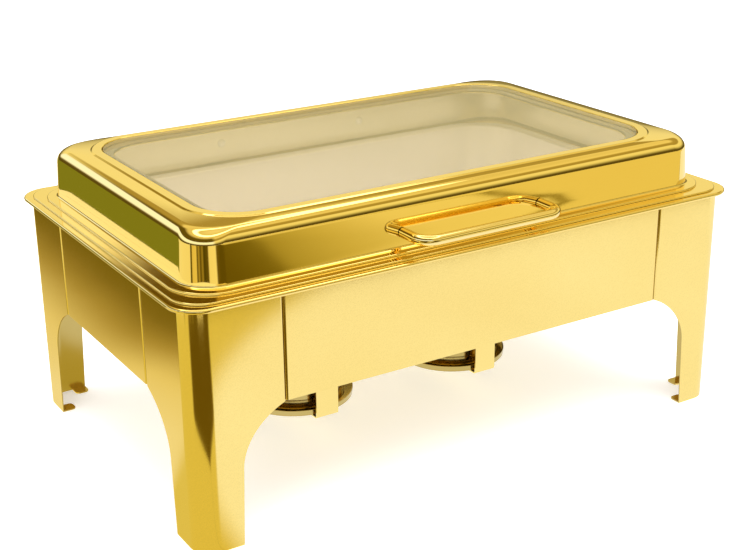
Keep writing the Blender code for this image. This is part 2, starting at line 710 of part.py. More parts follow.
def lid_handle():
    """The round bar on the lid's front wall, drilled at both ends for its screws."""
    wall = handle_end_y()
    out = -LID_HALF_Y - HANDLE_REACH
    half = HANDLE_SPAN / 2
    corners = [(-half, wall), (-half, out), (half, out), (half, wall)]
    path = rounded_path(corners, HANDLE_BEND_RADIUS, 5)
    curve = bpy.data.curves.new("lid_handle", "CURVE")
    curve.dimensions = "3D"
    curve.bevel_depth = HANDLE_DIAMETER / 2
    curve.bevel_resolution = 2
    curve.use_fill_caps = True
    spline = curve.splines.new("POLY")
    spline.points.add(len(path) - 1)
    for point, (x, y) in zip(spline.points, path):
        point.co = (x, y, 0.0, 1.0)
    curve.materials.append(finish("lid_handle", "polished_gold"))
    piece = bpy.data.objects.new("lid_handle", curve)
    PARTS.objects.link(piece)
    attach(piece, LID_AXIS, (0.0, 0.0, HANDLE_HEIGHT))
    piece = as_mesh(piece)
    depth = SCREW_BITE + 0.0010
    for side in (-1, 1):
        drill = round_bar("handle_drill", SCREW_RADIUS + HOLE_CLEARANCE, 2 * depth,
                          (side * half, wall, HANDLE_HEIGHT), TURN_TO_Y, ROOT, 12)
        combine(piece, hide_cutter(drill), "DIFFERENCE")
    return piece


def headed_pin(name, shank, length, head, head_height, kind, parent, place, turn):
    """A domed head on a shank that points along -Z, with the head's underside at its place."""
    profile = [(0.0, head_height)]
    for angle in (30, 60):
        profile.append((head * math.sin(math.radians(angle)), head_height * math.cos(math.radians(angle))))
    profile += [(head, 0.0), (shank, 0.0), (shank, -length), (0.0, -length)]
    piece = turned(name, profile, kind, parent, place, steps=14)
    piece.rotation_euler = turn
    return piece


def handle_fastener(side, x):
    """A screw and its washer, put through the lid's front wall from inside."""
    inner_face = -lid_wall_y(HANDLE_HEIGHT + WASHER_RADIUS) + LID_SHEET + GAP
    washer_out = inner_face + WASHER_THICKNESS
    hole = SCREW_RADIUS + HOLE_CLEARANCE
    profile = [(hole, WASHER_THICKNESS), (WASHER_RADIUS, WASHER_THICKNESS), (WASHER_RADIUS, 0.0), (hole, 0.0)]
    washer = turned("handle_washer_" + side, profile, "steel", LID_AXIS, (x, inner_face, HANDLE_HEIGHT),
                    closed=True, steps=16)
    washer.rotation_euler = (math.radians(-90), 0.0, 0.0)
    head_face = washer_out + GAP
    length = head_face - handle_end_y() + SCREW_BITE
    headed_pin("handle_screw_" + side, SCREW_RADIUS, length, SCREW_HEAD_RADIUS, SCREW_HEAD_HEIGHT, "steel",
               LID_AXIS, (x, head_face, HANDLE_HEIGHT), (math.radians(-90), 0.0, 0.0))


# ---------------------------------------------------------------- hinges
def pan_rivet_y():
    """The line of the small rivets between the lid's flange and the hinge knuckle."""
    return (LID_HALF_Y + LID_FLANGE + HINGE_Y - HINGE_KNUCKLE_RADIUS) / 2


def circle(centre_x, centre_y, radius, steps=14):
    return corner_arc(centre_x, centre_y, radius, 0.0, 2 * math.pi, steps)[:-1]


def pan_leaf(side, x):
    """The lower leaf: a plate on the water pan's flange with two knuckles at its ends."""
    plate_bottom = WATER_FLANGE_TOP + GAP
    plate_top = plate_bottom + HINGE_LEAF
    start = LID_HALF_Y + LID_FLANGE + 0.0010
    outline = [(start, plate_bottom), (HINGE_Y + HINGE_KNUCKLE_RADIUS, plate_bottom)]
    outline += corner_arc(HINGE_Y, HINGE_Z, HINGE_KNUCKLE_RADIUS, 0.0, math.pi, 9)
    outline += [(HINGE_Y - HINGE_KNUCKLE_RADIUS, plate_top), (start, plate_top)]
    bore = circle(HINGE_Y, HINGE_Z, HINGE_PIN_RADIUS + HOLE_CLEARANCE)
    leaf = flat_piece("hinge_pan_leaf_" + side, [outline, bore], HINGE_WIDTH, "polished_gold", WATER_AXIS,
                      (x, 0.0, 0.0), PLANE_YZ)
    leaf = as_mesh(leaf)
    room_top = HINGE_Z + HINGE_KNUCKLE_RADIUS + 0.002
    room_bottom = HINGE_Z - HINGE_KNUCKLE_RADIUS - 0.0006
    room = block("hinge_room", (HINGE_MIDDLE + 2 * HINGE_SLIT, 0.02, room_top - room_bottom),
                 (x, HINGE_Y, (room_top + room_bottom) / 2), ROOT)
    combine(leaf, hide_cutter(room), "DIFFERENCE")
    for spread in (-1, 1):
        place = (x + spread * PAN_RIVET_SPREAD / 2, pan_rivet_y(), plate_top)
        hole = round_bar("leaf_hole", PAN_RIVET_RADIUS + HOLE_CLEARANCE, 0.006, place, (0.0, 0.0, 0.0), ROOT, 12)
        combine(leaf, hide_cutter(hole), "DIFFERENCE")
        end = "inner" if spread * x < 0 else "outer"
        length = plate_top + GAP - (LEDGE_TOP + 2 * GAP)
        headed_pin("pan_leaf_rivet_" + side + "_" + end, PAN_RIVET_RADIUS, length, PAN_RIVET_HEAD_RADIUS,
                   PAN_RIVET_HEAD_HEIGHT, "polished_gold", WATER_AXIS,
                   (place[0], place[1], plate_top + GAP), (0.0, 0.0, 0.0))


def lid_leaf(side, x):
    """The upper leaf: a plate on the lid's rear wall, cranked out to the middle knuckle."""
    low = HINGE_Z - HINGE_LEAF / 2
    high = HINGE_Z + HINGE_LEAF / 2
    wall_low = lid_wall_y(low) + GAP
    wall_top = lid_wall_y(LID_LEAF_TOP) + GAP
    rise = math.asin(HINGE_LEAF / 2 / HINGE_KNUCKLE_RADIUS)
    outline = [(wall_top, LID_LEAF_TOP), (wall_low, low), (HINGE_Y - HINGE_KNUCKLE_RADIUS * math.cos(rise), low)]
    outline += corner_arc(HINGE_Y, HINGE_Z, HINGE_KNUCKLE_RADIUS, math.pi + rise, 2 * math.pi - 2 * rise, 12)[1:-1]
    outline += [(HINGE_Y - HINGE_KNUCKLE_RADIUS * math.cos(rise), high), (wall_low + HINGE_LEAF, high),
                (wall_top + HINGE_LEAF, LID_LEAF_TOP)]
    bore = circle(HINGE_Y, HINGE_Z, HINGE_PIN_RADIUS + HOLE_CLEARANCE)
    leaf = flat_piece("hinge_lid_leaf_" + side, [outline, bore], HINGE_WIDTH, "polished_gold", LID_AXIS,
                      (x, 0.0, 0.0), PLANE_YZ)
    leaf = as_mesh(leaf)
    trim_width = (HINGE_WIDTH - HINGE_MIDDLE) / 2 + 0.002
    trim_y = pan_rivet_y()
    for end in (-1, 1):
        centre = x + end * (HINGE_MIDDLE / 2 + trim_width / 2)
        trim = block("leaf_trim", (trim_width, 0.04, 0.02), (centre, trim_y + 0.011, HINGE_Z), ROOT)
        combine(leaf, hide_cutter(trim), "DIFFERENCE")
    hole = round_bar("leaf_hole", RIVET_RADIUS + HOLE_CLEARANCE, 0.010,
                     (x, LID_HALF_Y, LID_LEAF_RIVET_HEIGHT), TURN_TO_Y, ROOT, 12)
    combine(leaf, hide_cutter(hole), "DIFFERENCE")
    outside = lid_wall_y(LID_LEAF_RIVET_HEIGHT - RIVET_HEAD_RADIUS) + HINGE_LEAF + 2 * GAP
    inside = lid_wall_y(LID_LEAF_RIVET_HEIGHT + RIVET_HEAD_RADIUS) - LID_SHEET - GAP
    length = outside - inside
    head = RIVET_HEAD_RADIUS
    profile = [(0.0, RIVET_HEAD_HEIGHT)]
    for angle in (30, 60):
        turn = math.radians(angle)
        profile.append((head * math.sin(turn), RIVET_HEAD_HEIGHT * math.cos(turn)))
    profile += [(head, 0.0), (RIVET_RADIUS, 0.0), (RIVET_RADIUS, -length), (head, -length)]
    for angle in (30, 60):
        turn = math.radians(angle)
        profile.append((head * math.cos(turn), -length - RIVET_HEAD_HEIGHT * math.sin(turn)))
    profile.append((0.0, -length - RIVET_HEAD_HEIGHT))
    rivet = turned("hinge_lid_rivet_" + side, profile, "steel", LID_AXIS, (x, outside, LID_LEAF_RIVET_HEIGHT),
                   steps=16)
    rivet.rotation_euler = (math.radians(-90), 0.0, 0.0)


def hinge_pin(side, x):
    """The pin, held by a small head at each end."""
    half = HINGE_WIDTH / 2 + GAP
    head = HINGE_PIN_RADIUS + 0.0011
    profile = [(0.0, half + 0.0012), (head * 0.8, half + 0.0012), (head, half + 0.0005), (head, half),
               (HINGE_PIN_RADIUS, half), (HINGE_PIN_RADIUS, -half), (head, -half), (head, -half - 0.0005),
               (head * 0.8, -half - 0.0012), (0.0, -half - 0.0012)]
    pin = turned("hinge_pin_" + side, profile, "steel", WATER_AXIS, (x, HINGE_Y, HINGE_Z), steps=14)
    pin.rotation_euler = TURN_TO_X


# ---------------------------------------------------------------- burners
def burner_strap(side, x):
    """The strap that hangs under the water pan between the front and rear panels."""
    wall = HALF_Y - FRAME_SHEET - GAP
    corners = [(-wall, STRAP_RUN_BOTTOM + STRAP_TAB), (-wall, STRAP_RUN_BOTTOM), (-STRAP_ARM_Y, STRAP_RUN_BOTTOM),
               (-STRAP_ARM_Y, STRAP_BOTTOM), (STRAP_ARM_Y, STRAP_BOTTOM), (STRAP_ARM_Y, STRAP_RUN_BOTTOM),
               (wall, STRAP_RUN_BOTTOM), (wall, STRAP_RUN_BOTTOM + STRAP_TAB)]
    path = rounded_path(corners, STRAP_BEND)
    folded_strip("burner_strap_" + side, path, x - STRAP_WIDTH / 2, x + STRAP_WIDTH / 2, "x", "satin_gold",
                 ROOT, STRAP_SHEET)


def burner_tray(side, x):
    """The round dish that the fuel cup stands in."""
    sheet = TRAY_SHEET
    top = sheet + TRAY_WALL
    profile = [(0.0, sheet), (TRAY_DISH_RADIUS, sheet), (TRAY_DISH_RADIUS + 0.0012, sheet + TRAY_DISH_STEP),
               (TRAY_RADIUS - sheet, sheet + TRAY_DISH_STEP), (TRAY_RADIUS - sheet, top), (TRAY_RADIUS, top),
               (TRAY_RADIUS, 0.0015), (TRAY_RADIUS - 0.0015, 0.0), (0.0, 0.0)]
    turned("burner_tray_" + side, profile, "satin_gold", ROOT, (x, 0.0, TRAY_BOTTOM))


def fuel_cup(side, x, axis):
    """The open cup that holds the fuel, its edge curled inward."""
    inner = CUP_RADIUS - CUP_SHEET
    profile = [(0.0, CUP_SHEET), (inner - 0.003, CUP_SHEET), (inner, CUP_SHEET + 0.003), (inner, CUP_HEIGHT),
               (CUP_RADIUS, CUP_HEIGHT), (CUP_RADIUS, 0.003), (CUP_RADIUS - 0.003, 0.0), (0.0, 0.0)]
    turned("fuel_cup_" + side, profile, "satin_gold", axis, (x, 0.0, CUP_BOTTOM))


def cup_cap(side, x, axis):
    """The cap with the flame opening, drilled for the damper's rivet."""
    outer = CUP_RADIUS + GAP + CAP_SHEET
    inner = CUP_RADIUS + GAP
    opening = CAP_OPENING_RADIUS
    profile = [(opening, 0.0), (outer - 0.001, 0.0), (outer, -0.001), (outer, -CAP_SKIRT), (inner, -CAP_SKIRT),
               (inner, -CAP_SHEET), (opening, -CAP_SHEET)]
    cap = turned("cup_cap_" + side, profile, "satin_gold", axis, (x, 0.0, CAP_TOP), closed=True)
    hole = round_bar("cap_hole", DAMPER_RIVET_RADIUS + HOLE_CLEARANCE, 0.006, (x, DAMPER_PIVOT_Y, CAP_TOP),
                     (0.0, 0.0, 0.0), ROOT, 12)
    combine(cap, hide_cutter(hole), "DIFFERENCE")


def damper(side, x, axis):
    """The swing cover over the flame opening, with a pushing tab in front."""
    lug = DAMPER_LUG_RADIUS
    spread = math.asin(lug / DAMPER_RADIUS)
    tab_spread = math.asin(DAMPER_TAB_WIDTH / 2 / DAMPER_RADIUS)
    centre = -DAMPER_PIVOT_Y
    tab_end = centre - DAMPER_RADIUS - DAMPER_TAB_LENGTH
    outline = corner_arc(0.0, 0.0, lug, 0.0, math.pi, 8)
    outline += corner_arc(0.0, centre, DAMPER_RADIUS, math.pi / 2 + spread, math.pi - spread - tab_spread, 12)
    outline += [(-DAMPER_TAB_WIDTH / 2, tab_end + 0.003), (0.003 - DAMPER_TAB_WIDTH / 2, tab_end),
                (DAMPER_TAB_WIDTH / 2 - 0.003, tab_end), (DAMPER_TAB_WIDTH / 2, tab_end + 0.003)]
    outline += corner_arc(0.0, centre, DAMPER_RADIUS, 1.5 * math.pi + tab_spread, math.pi - spread - tab_spread, 12)
    bore = circle(0.0, 0.0, DAMPER_RIVET_RADIUS + HOLE_CLEARANCE, 12)
    flat_piece("flame_damper_" + side, [outline, bore], DAMPER_SHEET, "satin_gold", axis,
               (x, DAMPER_PIVOT_Y, DAMPER_BOTTOM + DAMPER_SHEET / 2))


def damper_rivet(side, x, axis):
    top = DAMPER_BOTTOM + DAMPER_SHEET + GAP
    bottom = CAP_TOP - CAP_SHEET - GAP
    shank = DAMPER_RIVET_RADIUS
    head = shank + 0.0022
    profile = [(0.0, top - bottom + 0.0012), (head * 0.6, top - bottom + 0.0010), (head, top - bottom),
               (shank, top - bottom), (shank, 0.0), (head, 0.0), (head * 0.6, -0.0010), (0.0, -0.0012)]
    turned("damper_rivet_" + side, profile, "satin_gold", axis, (x, DAMPER_PIVOT_Y, bottom), steps=14)


def burner(side, x):
    cup_axis = axis_empty("fuel_cup_lift_" + side, (x, 0.0, CUP_BOTTOM), ROOT)
    damper_axis = axis_empty("damper_swivel_" + side, (x, DAMPER_PIVOT_Y, DAMPER_BOTTOM), cup_axis)
    burner_strap(side, x)
    burner_tray(side, x)
    fuel_cup(side, x, cup_axis)
    cup_cap(side, x, cup_axis)
    damper_rivet(side, x, cup_axis)
    damper(side, x, damper_axis)


# ---------------------------------------------------------------- assembly
def build():
    for end, side_y in (("front", -1), ("rear", 1)):
        for side, side_x in (("left", -1), ("right", 1)):
            leg("leg_" + end + "_" + side, side_x, side_y)
    panel("panel_front", FRONT_SEAM_X, HALF_Y, 0.0)
    panel("panel_rear", FRONT_SEAM_X, HALF_Y, math.pi)
    panel("panel_left", SIDE_SEAM_Y, HALF_X, -math.pi / 2)
    panel("panel_right", SIDE_SEAM_Y, HALF_X, math.pi / 2)
    frame_rim()
    water_pan()
    food_pan()
    lid_shell()
    glass_pane()
    glass_gasket()
    lid_handle()
    for side, sign in (("left", -1), ("right", 1)):
        handle_fastener(side, sign * HANDLE_SPAN / 2)
        pan_leaf(side, sign * HINGE_X)
        lid_leaf(side, sign * HINGE_X)
        hinge_pin(side, sign * HINGE_X)
        burner(side, sign * BURNER_X)


build()
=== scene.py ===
"""A polished gold chafing dish with a hinged, windowed lid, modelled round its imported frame."""

import json
import logging
import math
from dataclasses import dataclass
from enum import Enum
from typing import Callable, ClassVar, Optional, Sequence, Union

import bmesh
import bpy
from mathutils import Matrix, Vector


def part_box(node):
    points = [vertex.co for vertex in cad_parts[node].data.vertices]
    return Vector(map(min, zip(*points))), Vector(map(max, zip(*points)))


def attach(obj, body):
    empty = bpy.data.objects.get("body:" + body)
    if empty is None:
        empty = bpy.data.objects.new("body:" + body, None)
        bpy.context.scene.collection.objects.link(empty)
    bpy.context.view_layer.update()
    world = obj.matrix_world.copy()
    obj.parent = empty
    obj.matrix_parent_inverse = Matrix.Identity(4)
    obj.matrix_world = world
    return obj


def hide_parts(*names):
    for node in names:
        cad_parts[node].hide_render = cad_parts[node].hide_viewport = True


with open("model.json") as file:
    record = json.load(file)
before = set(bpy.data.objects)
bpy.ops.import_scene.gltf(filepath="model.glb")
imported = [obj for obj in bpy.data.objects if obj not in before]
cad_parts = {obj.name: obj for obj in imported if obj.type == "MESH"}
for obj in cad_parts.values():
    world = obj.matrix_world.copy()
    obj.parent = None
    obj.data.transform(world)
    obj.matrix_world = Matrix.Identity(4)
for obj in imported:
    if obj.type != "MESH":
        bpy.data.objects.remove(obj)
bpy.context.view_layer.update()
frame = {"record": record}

log = logging.getLogger("chafing_dish")
logging.basicConfig(level=logging.INFO, format="%(name)s: %(message)s")

Colour = tuple[float, float, float]
Point = tuple[float, float, float]
Flat = tuple[float, float]

# Metres, as everywhere below: doubles closer than MERGE are one vertex, a fold point is found
# within NEAR, and a ring is bridged while it is APART above its place.
MERGE = 0.000002
NEAR = 0.00005
APART = 0.5
CLEARANCE = 0.0003
EDGE_BREAK = 0.0002
SHARP_ANGLE = math.radians(50)
SMOOTH_ANGLE = math.radians(35)

# How an upright drill, outline or turned piece is laid over.
UPRIGHT: Point = (0.0, 0.0, 0.0)
FACING_FRONT: Point = (math.radians(90), 0.0, 0.0)
FACING_REAR: Point = (math.radians(-90), 0.0, 0.0)
FACING_RIGHT: Point = (0.0, math.radians(90), 0.0)

RIM_LOW, RIM_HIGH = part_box("frame_rim")
CENTRE_Y = (RIM_LOW[1] + RIM_HIGH[1]) / 2
NODE_BODIES: dict[str, list[str]] = frame["record"]["behaviour"]["bodies"]
SIDES = (("left", -1), ("right", 1))
ENDS = (("front", -1), ("rear", 1))


# ------------------------------------------------------------------ modelling bench
@dataclass(frozen=True)
class Ring:
    """One rounded-rectangle outline of a pressed piece.

    Attributes:
        half_x: Half its length, in metres.
        half_y: Half its width.
        radius: Its corner radius.
        height: Its height above the table.
        soften: The radius of the bend that the sheet takes there, or 0.
    """

    half_x: float
    half_y: float
    radius: float
    height: float
    soften: float = 0.0


class Bench:
    """The modelling steps that all the pieces share.

    A sheet or a turned piece is drawn out ring by ring, and each vertex keeps its ring's number, so
    that a ring can be picked again to be bridged, filled or rounded.
    """

    @staticmethod
    def clear() -> None:
        """Leaves edit mode and deselects everything."""
        if bpy.context.object and bpy.context.object.mode != "OBJECT":
            bpy.ops.object.mode_set(mode="OBJECT")
        bpy.ops.object.select_all(action="DESELECT")

    @staticmethod
    def take(piece: bpy.types.Object) -> None:
        """Makes a piece the only selected one.

        Args:
            piece: The piece to work on.
        """
        Bench.clear()
        piece.select_set(True)
        bpy.context.view_layer.objects.active = piece

    @staticmethod
    def edit(piece: bpy.types.Object) -> None:
        """Opens a piece in edit mode with all of it selected.

        Args:
            piece: The piece to work on.
        """
        Bench.take(piece)
        bpy.ops.object.mode_set(mode="EDIT")
        bpy.ops.mesh.select_all(action="SELECT")

    @staticmethod
    def settle(piece: bpy.types.Object) -> bpy.types.Object:
        """Puts a piece's place into its mesh.

        Args:
            piece: The piece to settle.

        Returns:
            The same piece, at the origin, unturned and unscaled.
        """
        Bench.take(piece)
        bpy.ops.object.transform_apply(location=True, rotation=True, scale=True)
        return piece

    @staticmethod
    def modify(piece: bpy.types.Object, kind: str, **settings: object) -> None:
        """Adds a modifier with these settings and applies it.

        Args:
            piece: The piece to change.
            kind: The modifier's type.
            **settings: Its properties.
        """
        Bench.take(piece)
        modifier = piece.modifiers.new(kind.title(), kind)
        for key, value in settings.items():
            setattr(modifier, key, value)
        bpy.ops.object.modifier_apply(modifier=modifier.name)

    @staticmethod
    def mark(number: int) -> None:
        """Gives each vertex without a ring number this one, in edit mode.

        Args:
            number: The ring's number, from 1.
        """
        mesh = bmesh.from_edit_mesh(bpy.context.object.data)
        layer = mesh.verts.layers.int.get("ring") or mesh.verts.layers.int.new("ring")
        for vert in mesh.verts:
            if vert[layer] == 0:
                vert[layer] = number
        bmesh.update_edit_mesh(bpy.context.object.data)

    @staticmethod
    def pick(*numbers: int) -> None:
        """Selects the vertices of these rings only, in edit mode.

        Args:
            *numbers: The rings' numbers.
        """
        bpy.ops.mesh.select_all(action="DESELECT")
        mesh = bmesh.from_edit_mesh(bpy.context.object.data)
        layer = mesh.verts.layers.int["ring"]
        for vert in mesh.verts:
            if vert[layer] in numbers:
                vert.select = True
        mesh.select_flush(True)
        bmesh.update_edit_mesh(bpy.context.object.data)

    @staticmethod
    def lift(number: int, rise: float) -> None:
        """Lifts one ring, in edit mode; two rings in one plane only bridge cleanly while apart.

        Args:
            number: The ring to lift.
            rise: How far up it goes.
        """
        Bench.pick(number)
        bpy.ops.transform.translate(value=(0.0, 0.0, rise))

    @staticmethod
    def soften(piece: bpy.types.Object, radii: dict[int, float], steps: int = 6) -> None:
        """Rounds the edges that lie along numbered rings.

        Args:
            piece: The piece, whose vertices hold ring numbers.
            radii: Each ring's bend radius.
            steps: The faces round each bend.
        """
        most = max(radii.values(), default=0.0)
        if most <= 0.0:
            return
        Bench.clear()
        ring = [item.value for item in piece.data.attributes["ring"].data]
        weights = piece.data.attributes.new("bevel_weight_edge", "FLOAT", "EDGE")
        for edge in piece.data.edges:
            first, second = (ring[vertex] for vertex in edge.vertices)
            if first == second:
                weights.data[edge.index].value = radii.get(first, 0.0) / most
        Bench.modify(
            piece,
            "BEVEL",
            width=most,
            segments=steps,
            limit_method="WEIGHT",
            use_clamp_overlap=False,
        )

    @staticmethod
    def break_edges(piece: bpy.types.Object) -> None:
        """Takes the sharpness off the edges of a cut-out piece.

        Args:
            piece: The piece to finish.
        """
        Bench.modify(
            piece,
            "BEVEL",
            width=EDGE_BREAK,
            segments=2,
            limit_method="ANGLE",
            angle_limit=SHARP_ANGLE,
        )

    @staticmethod
    def clean(piece: bpy.types.Object, upward: Optional[bool] = None) -> None:
        """Merges doubles and turns the faces outwards.

        Args:
            piece: The piece to clean.
            upward: True where an open sheet's finished side looks up on the whole.
        """
        Bench.edit(piece)
        bpy.ops.mesh.remove_doubles(threshold=MERGE)
        bpy.ops.mesh.normals_make_consistent(inside=False)
        if upward is not None:
            faces = bmesh.from_edit_mesh(piece.data).faces
            rise = sum(face.normal.z * face.calc_area() for face in faces)
            if (rise > 0.0) != upward:
                bpy.ops.mesh.flip_normals()
        bpy.ops.object.mode_set(mode="OBJECT")

    @staticmethod
    def polish(piece: bpy.types.Object, name: str) -> bpy.types.Object:
        """Names a finished piece and shades it smooth, with its flats kept flat.

        Args:
            piece: The piece to finish.
            name: Its name from now on.

        Returns:
            The same piece.
        """
        piece.name = name
        piece.data.name = name
        for spare in ("ring", "bevel_weight_edge"):
            if spare in piece.data.attributes:
                piece.data.attributes.remove(piece.data.attributes[spare])
        Bench.take(piece)
        bpy.ops.object.shade_smooth_by_angle(angle=SMOOTH_ANGLE)
        Bench.modify(piece, "WEIGHTED_NORMAL", mode="FACE_AREA", weight=60, keep_sharp=True)
        return piece

    @staticmethod
    def pressed(
        name: str,
        rings: Sequence[Ring],
        sheet: float = 0.0,
        floor: bool = False,
        loop: bool = False,
        cover: bool = False,
        segments: int = 18,
        upward: Optional[bool] = True,
    ) -> bpy.types.Object:
        """A pressed sheet piece through rounded-rectangle outlines.

        Args:
            name: The piece's name.
            rings: The outlines, in order along the sheet.
            sheet: The sheet's thickness, or 0 for a closed form.
            floor: Whether the last outline is filled.
            loop: Whether the last outline joins the first.
            cover: Whether the first outline is filled.
            segments: The faces round each corner.
            upward: Whether the finished side looks up, or None for a closed form.

        Returns:
            The finished piece.
        """
        Bench.clear()
        bpy.ops.mesh.primitive_plane_add(size=2.0, location=(0.0, CENTRE_Y, rings[0].height))
        piece = Bench.settle(bpy.context.object)
        Bench.edit(piece)
        for number, ring in enumerate(rings, start=1):
            centre = (0.0, CENTRE_Y, ring.height + (APART if number > 1 else 0.0))
            if number > 1:
                bpy.ops.mesh.select_all(action="DESELECT")
                bpy.ops.mesh.primitive_plane_add(size=2.0, location=centre)
            bpy.ops.transform.resize(value=(ring.half_x, ring.half_y, 1.0), center_override=centre)
            bpy.ops.mesh.bevel(offset=ring.radius, segments=segments, affect="VERTICES")
            bpy.ops.mesh.delete(type="ONLY_FACE")
            Bench.mark(number)
            if number > 1:
                Bench.pick(number - 1, number)
                bpy.ops.mesh.bridge_edge_loops()
                Bench.lift(number, -APART)
        if loop:
            Bench.lift(1, APART)
            Bench.pick(1, len(rings))
            bpy.ops.mesh.bridge_edge_loops()
            Bench.lift(1, -APART)
        for number, filled in ((1, cover), (len(rings), floor)):
            if filled:
                Bench.pick(number)
                bpy.ops.mesh.edge_face_add()
        bpy.ops.object.mode_set(mode="OBJECT")
        Bench.soften(piece, {number: ring.soften for number, ring in enumerate(rings, start=1)})
        Bench.clean(piece, upward if sheet else None)
        if sheet:
            Bench.modify(piece, "SOLIDIFY", thickness=sheet, offset=-1.0, use_even_offset=True)
        return Bench.polish(piece, name)

    @staticmethod
    def turned(
        name: str,
        profile: Sequence[Point],
        place: Point,
        turn: Point = UPRIGHT,
        loop: bool = False,
        steps: int = 72,
    ) -> bpy.types.Object:
        """A round piece, drawn out ring by ring from a circle.

        Args:
            name: The piece's name.
            profile: (radius, height, bend radius) of each ring, in order along the surface.
            place: Where its axis starts.
            turn: How its axis is turned from upright, in radians.
            loop: Whether the last ring joins the first; otherwise both ends are filled.
            steps: The faces round it.

        Returns:
            The finished piece.
        """
        Bench.clear()
        radius, height, _ = profile[0]
        bpy.ops.mesh.primitive_circle_add(vertices=steps, radius=radius, location=(0.0, 0.0, height))
        piece = Bench.settle(bpy.context.object)
        Bench.edit(piece)
        Bench.mark(1)
        for number, (wide, high, _) in enumerate(profile[1:], start=2):
            lift = {"value": (0.0, 0.0, high - height)}
            bpy.ops.mesh.extrude_region_move(TRANSFORM_OT_translate=lift)
            factor = wide / radius
            bpy.ops.transform.resize(value=(factor, factor, 1.0), center_override=(0.0, 0.0, high))
            Bench.renumber(number)
            radius, height = wide, high
        if loop:
            Bench.pick(1, len(profile))
            bpy.ops.mesh.bridge_edge_loops()
        else:
            for number in (1, len(profile)):
                Bench.pick(number)
                bpy.ops.mesh.edge_face_add()
        bpy.ops.object.mode_set(mode="OBJECT")
        radii = {number: step[2] for number, step in enumerate(profile, start=1)}
        Bench.soften(piece, radii, steps=4)
        Bench.clean(piece)
        piece.rotation_euler = turn
        piece.location = place
        return Bench.polish(Bench.settle(piece), name)

    @staticmethod
    def renumber(number: int) -> None:
        """Gives the selected vertices this ring number, in edit mode.

        Args:
            number: The ring's number.
        """
        mesh = bmesh.from_edit_mesh(bpy.context.object.data)
        layer = mesh.verts.layers.int["ring"]
        for vert in mesh.verts:
            if vert.select:
                vert[layer] = number
        bmesh.update_edit_mesh(bpy.context.object.data)

    @staticmethod
    def folded(
        path: Sequence[Flat],
        bends: Sequence[float],
        low: float,
        high: float,
        sheet: float,
        steps: int,
    ) -> bpy.types.Object:
        """A strip of sheet metal folded along a path in plan and standing between two heights.

        Args:
            path: The fold points in X and Y.
            bends: The bend radius at each inner fold point.
            low: The strip's lower edge.
            high: Its upper edge.
            sheet: Its thickness, laid to the left of the path, or to the right where it is negative.
            steps: The faces round each bend.

        Returns:
            The piece, not yet shaded.
        """
        Bench.clear()
        start, end = Vector(path[0]), Vector(path[1])
        middle = (start + end) / 2
        along = end - start
        bpy.ops.mesh.primitive_plane_add(size=1.0, location=(middle.x, middle.y, (low + high) / 2))
        piece = bpy.context.object
        piece.rotation_euler = (math.radians(90), 0.0, math.atan2(along.y, along.x))
        piece.scale = (along.length, high - low, 1.0)
        Bench.settle(piece)
        Bench.edit(piece)
        Bench.mark(1)
        for number, (here, there) in enumerate(zip(path[1:], path[2:]), start=2):
            Bench.pick_near(here)
            Bench.renumber(number)
            step = (there[0] - here[0], there[1] - here[1], 0.0)
            bpy.ops.mesh.extrude_region_move(TRANSFORM_OT_translate={"value": step})
            Bench.renumber(len(path) + 1)
        bpy.ops.object.mode_set(mode="OBJECT")
        radii = {number: radius for number, radius in enumerate(bends, start=2)}
        Bench.soften(piece, radii, steps)
        Bench.modify(piece, "SOLIDIFY", thickness=sheet, offset=-1.0, use_even_offset=True)
        Bench.clean(piece)
        return piece

    @staticmethod
    def pick_near(spot: Flat) -> None:
        """Selects the vertices above one point of the plan, in edit mode.

        Args:
            spot: The point, in X and Y.
        """
        bpy.ops.mesh.select_all(action="DESELECT")
        mesh = bmesh.from_edit_mesh(bpy.context.object.data)
        for vert in mesh.verts:
            if (vert.co.xy - Vector(spot)).length < NEAR:
                vert.select = True
        mesh.select_flush(True)
        bmesh.update_edit_mesh(bpy.context.object.data)

    @staticmethod
    def cut_out(
        outlines: Sequence[Sequence[Flat]], thickness: float, matrix: Matrix
    ) -> bpy.types.Object:
        """A flat outline drawn out evenly on both sides of its plane, as a clean mesh.

        Args:
            outlines: The outer outline and any holes.
            thickness: The whole thickness.
            matrix: Where its plane lies.

        Returns:
            The piece, not yet shaded.
        """
        Bench.clear()
        curve = bpy.data.curves.new("outline", "CURVE")
        curve.dimensions = "2D"
        curve.fill_mode = "BOTH"
        curve.extrude = thickness / 2
        for outline in outlines:
            Bench.draw(curve, outline)
            curve.splines[-1].use_cyclic_u = True
        piece = Bench.as_mesh(curve)
        piece.matrix_world = matrix
        Bench.settle(piece)
        Bench.clean(piece)
        return piece

    @staticmethod
    def draw(curve: bpy.types.Curve, points: Sequence[Flat], height: float = 0.0) -> None:
        """Adds a line through points to a curve.

        Args:
            curve: The curve to draw on.
            points: The line's points in plan.
            height: Their height.
        """
        spline = curve.splines.new("POLY")
        spline.points.add(len(points) - 1)
        for point, (x, y) in zip(spline.points, points):
            point.co = (x, y, height, 1.0)

    @staticmethod
    def as_mesh(curve: bpy.types.Curve) -> bpy.types.Object:
        """Puts a curve in the scene as a mesh.

        Args:
            curve: The finished curve.

        Returns:
            The piece, with its doubles not yet merged.
        """
        piece = bpy.data.objects.new(curve.name, curve)
        bpy.context.scene.collection.objects.link(piece)
        Bench.take(piece)
        bpy.ops.object.convert(target="MESH")
        return bpy.context.object

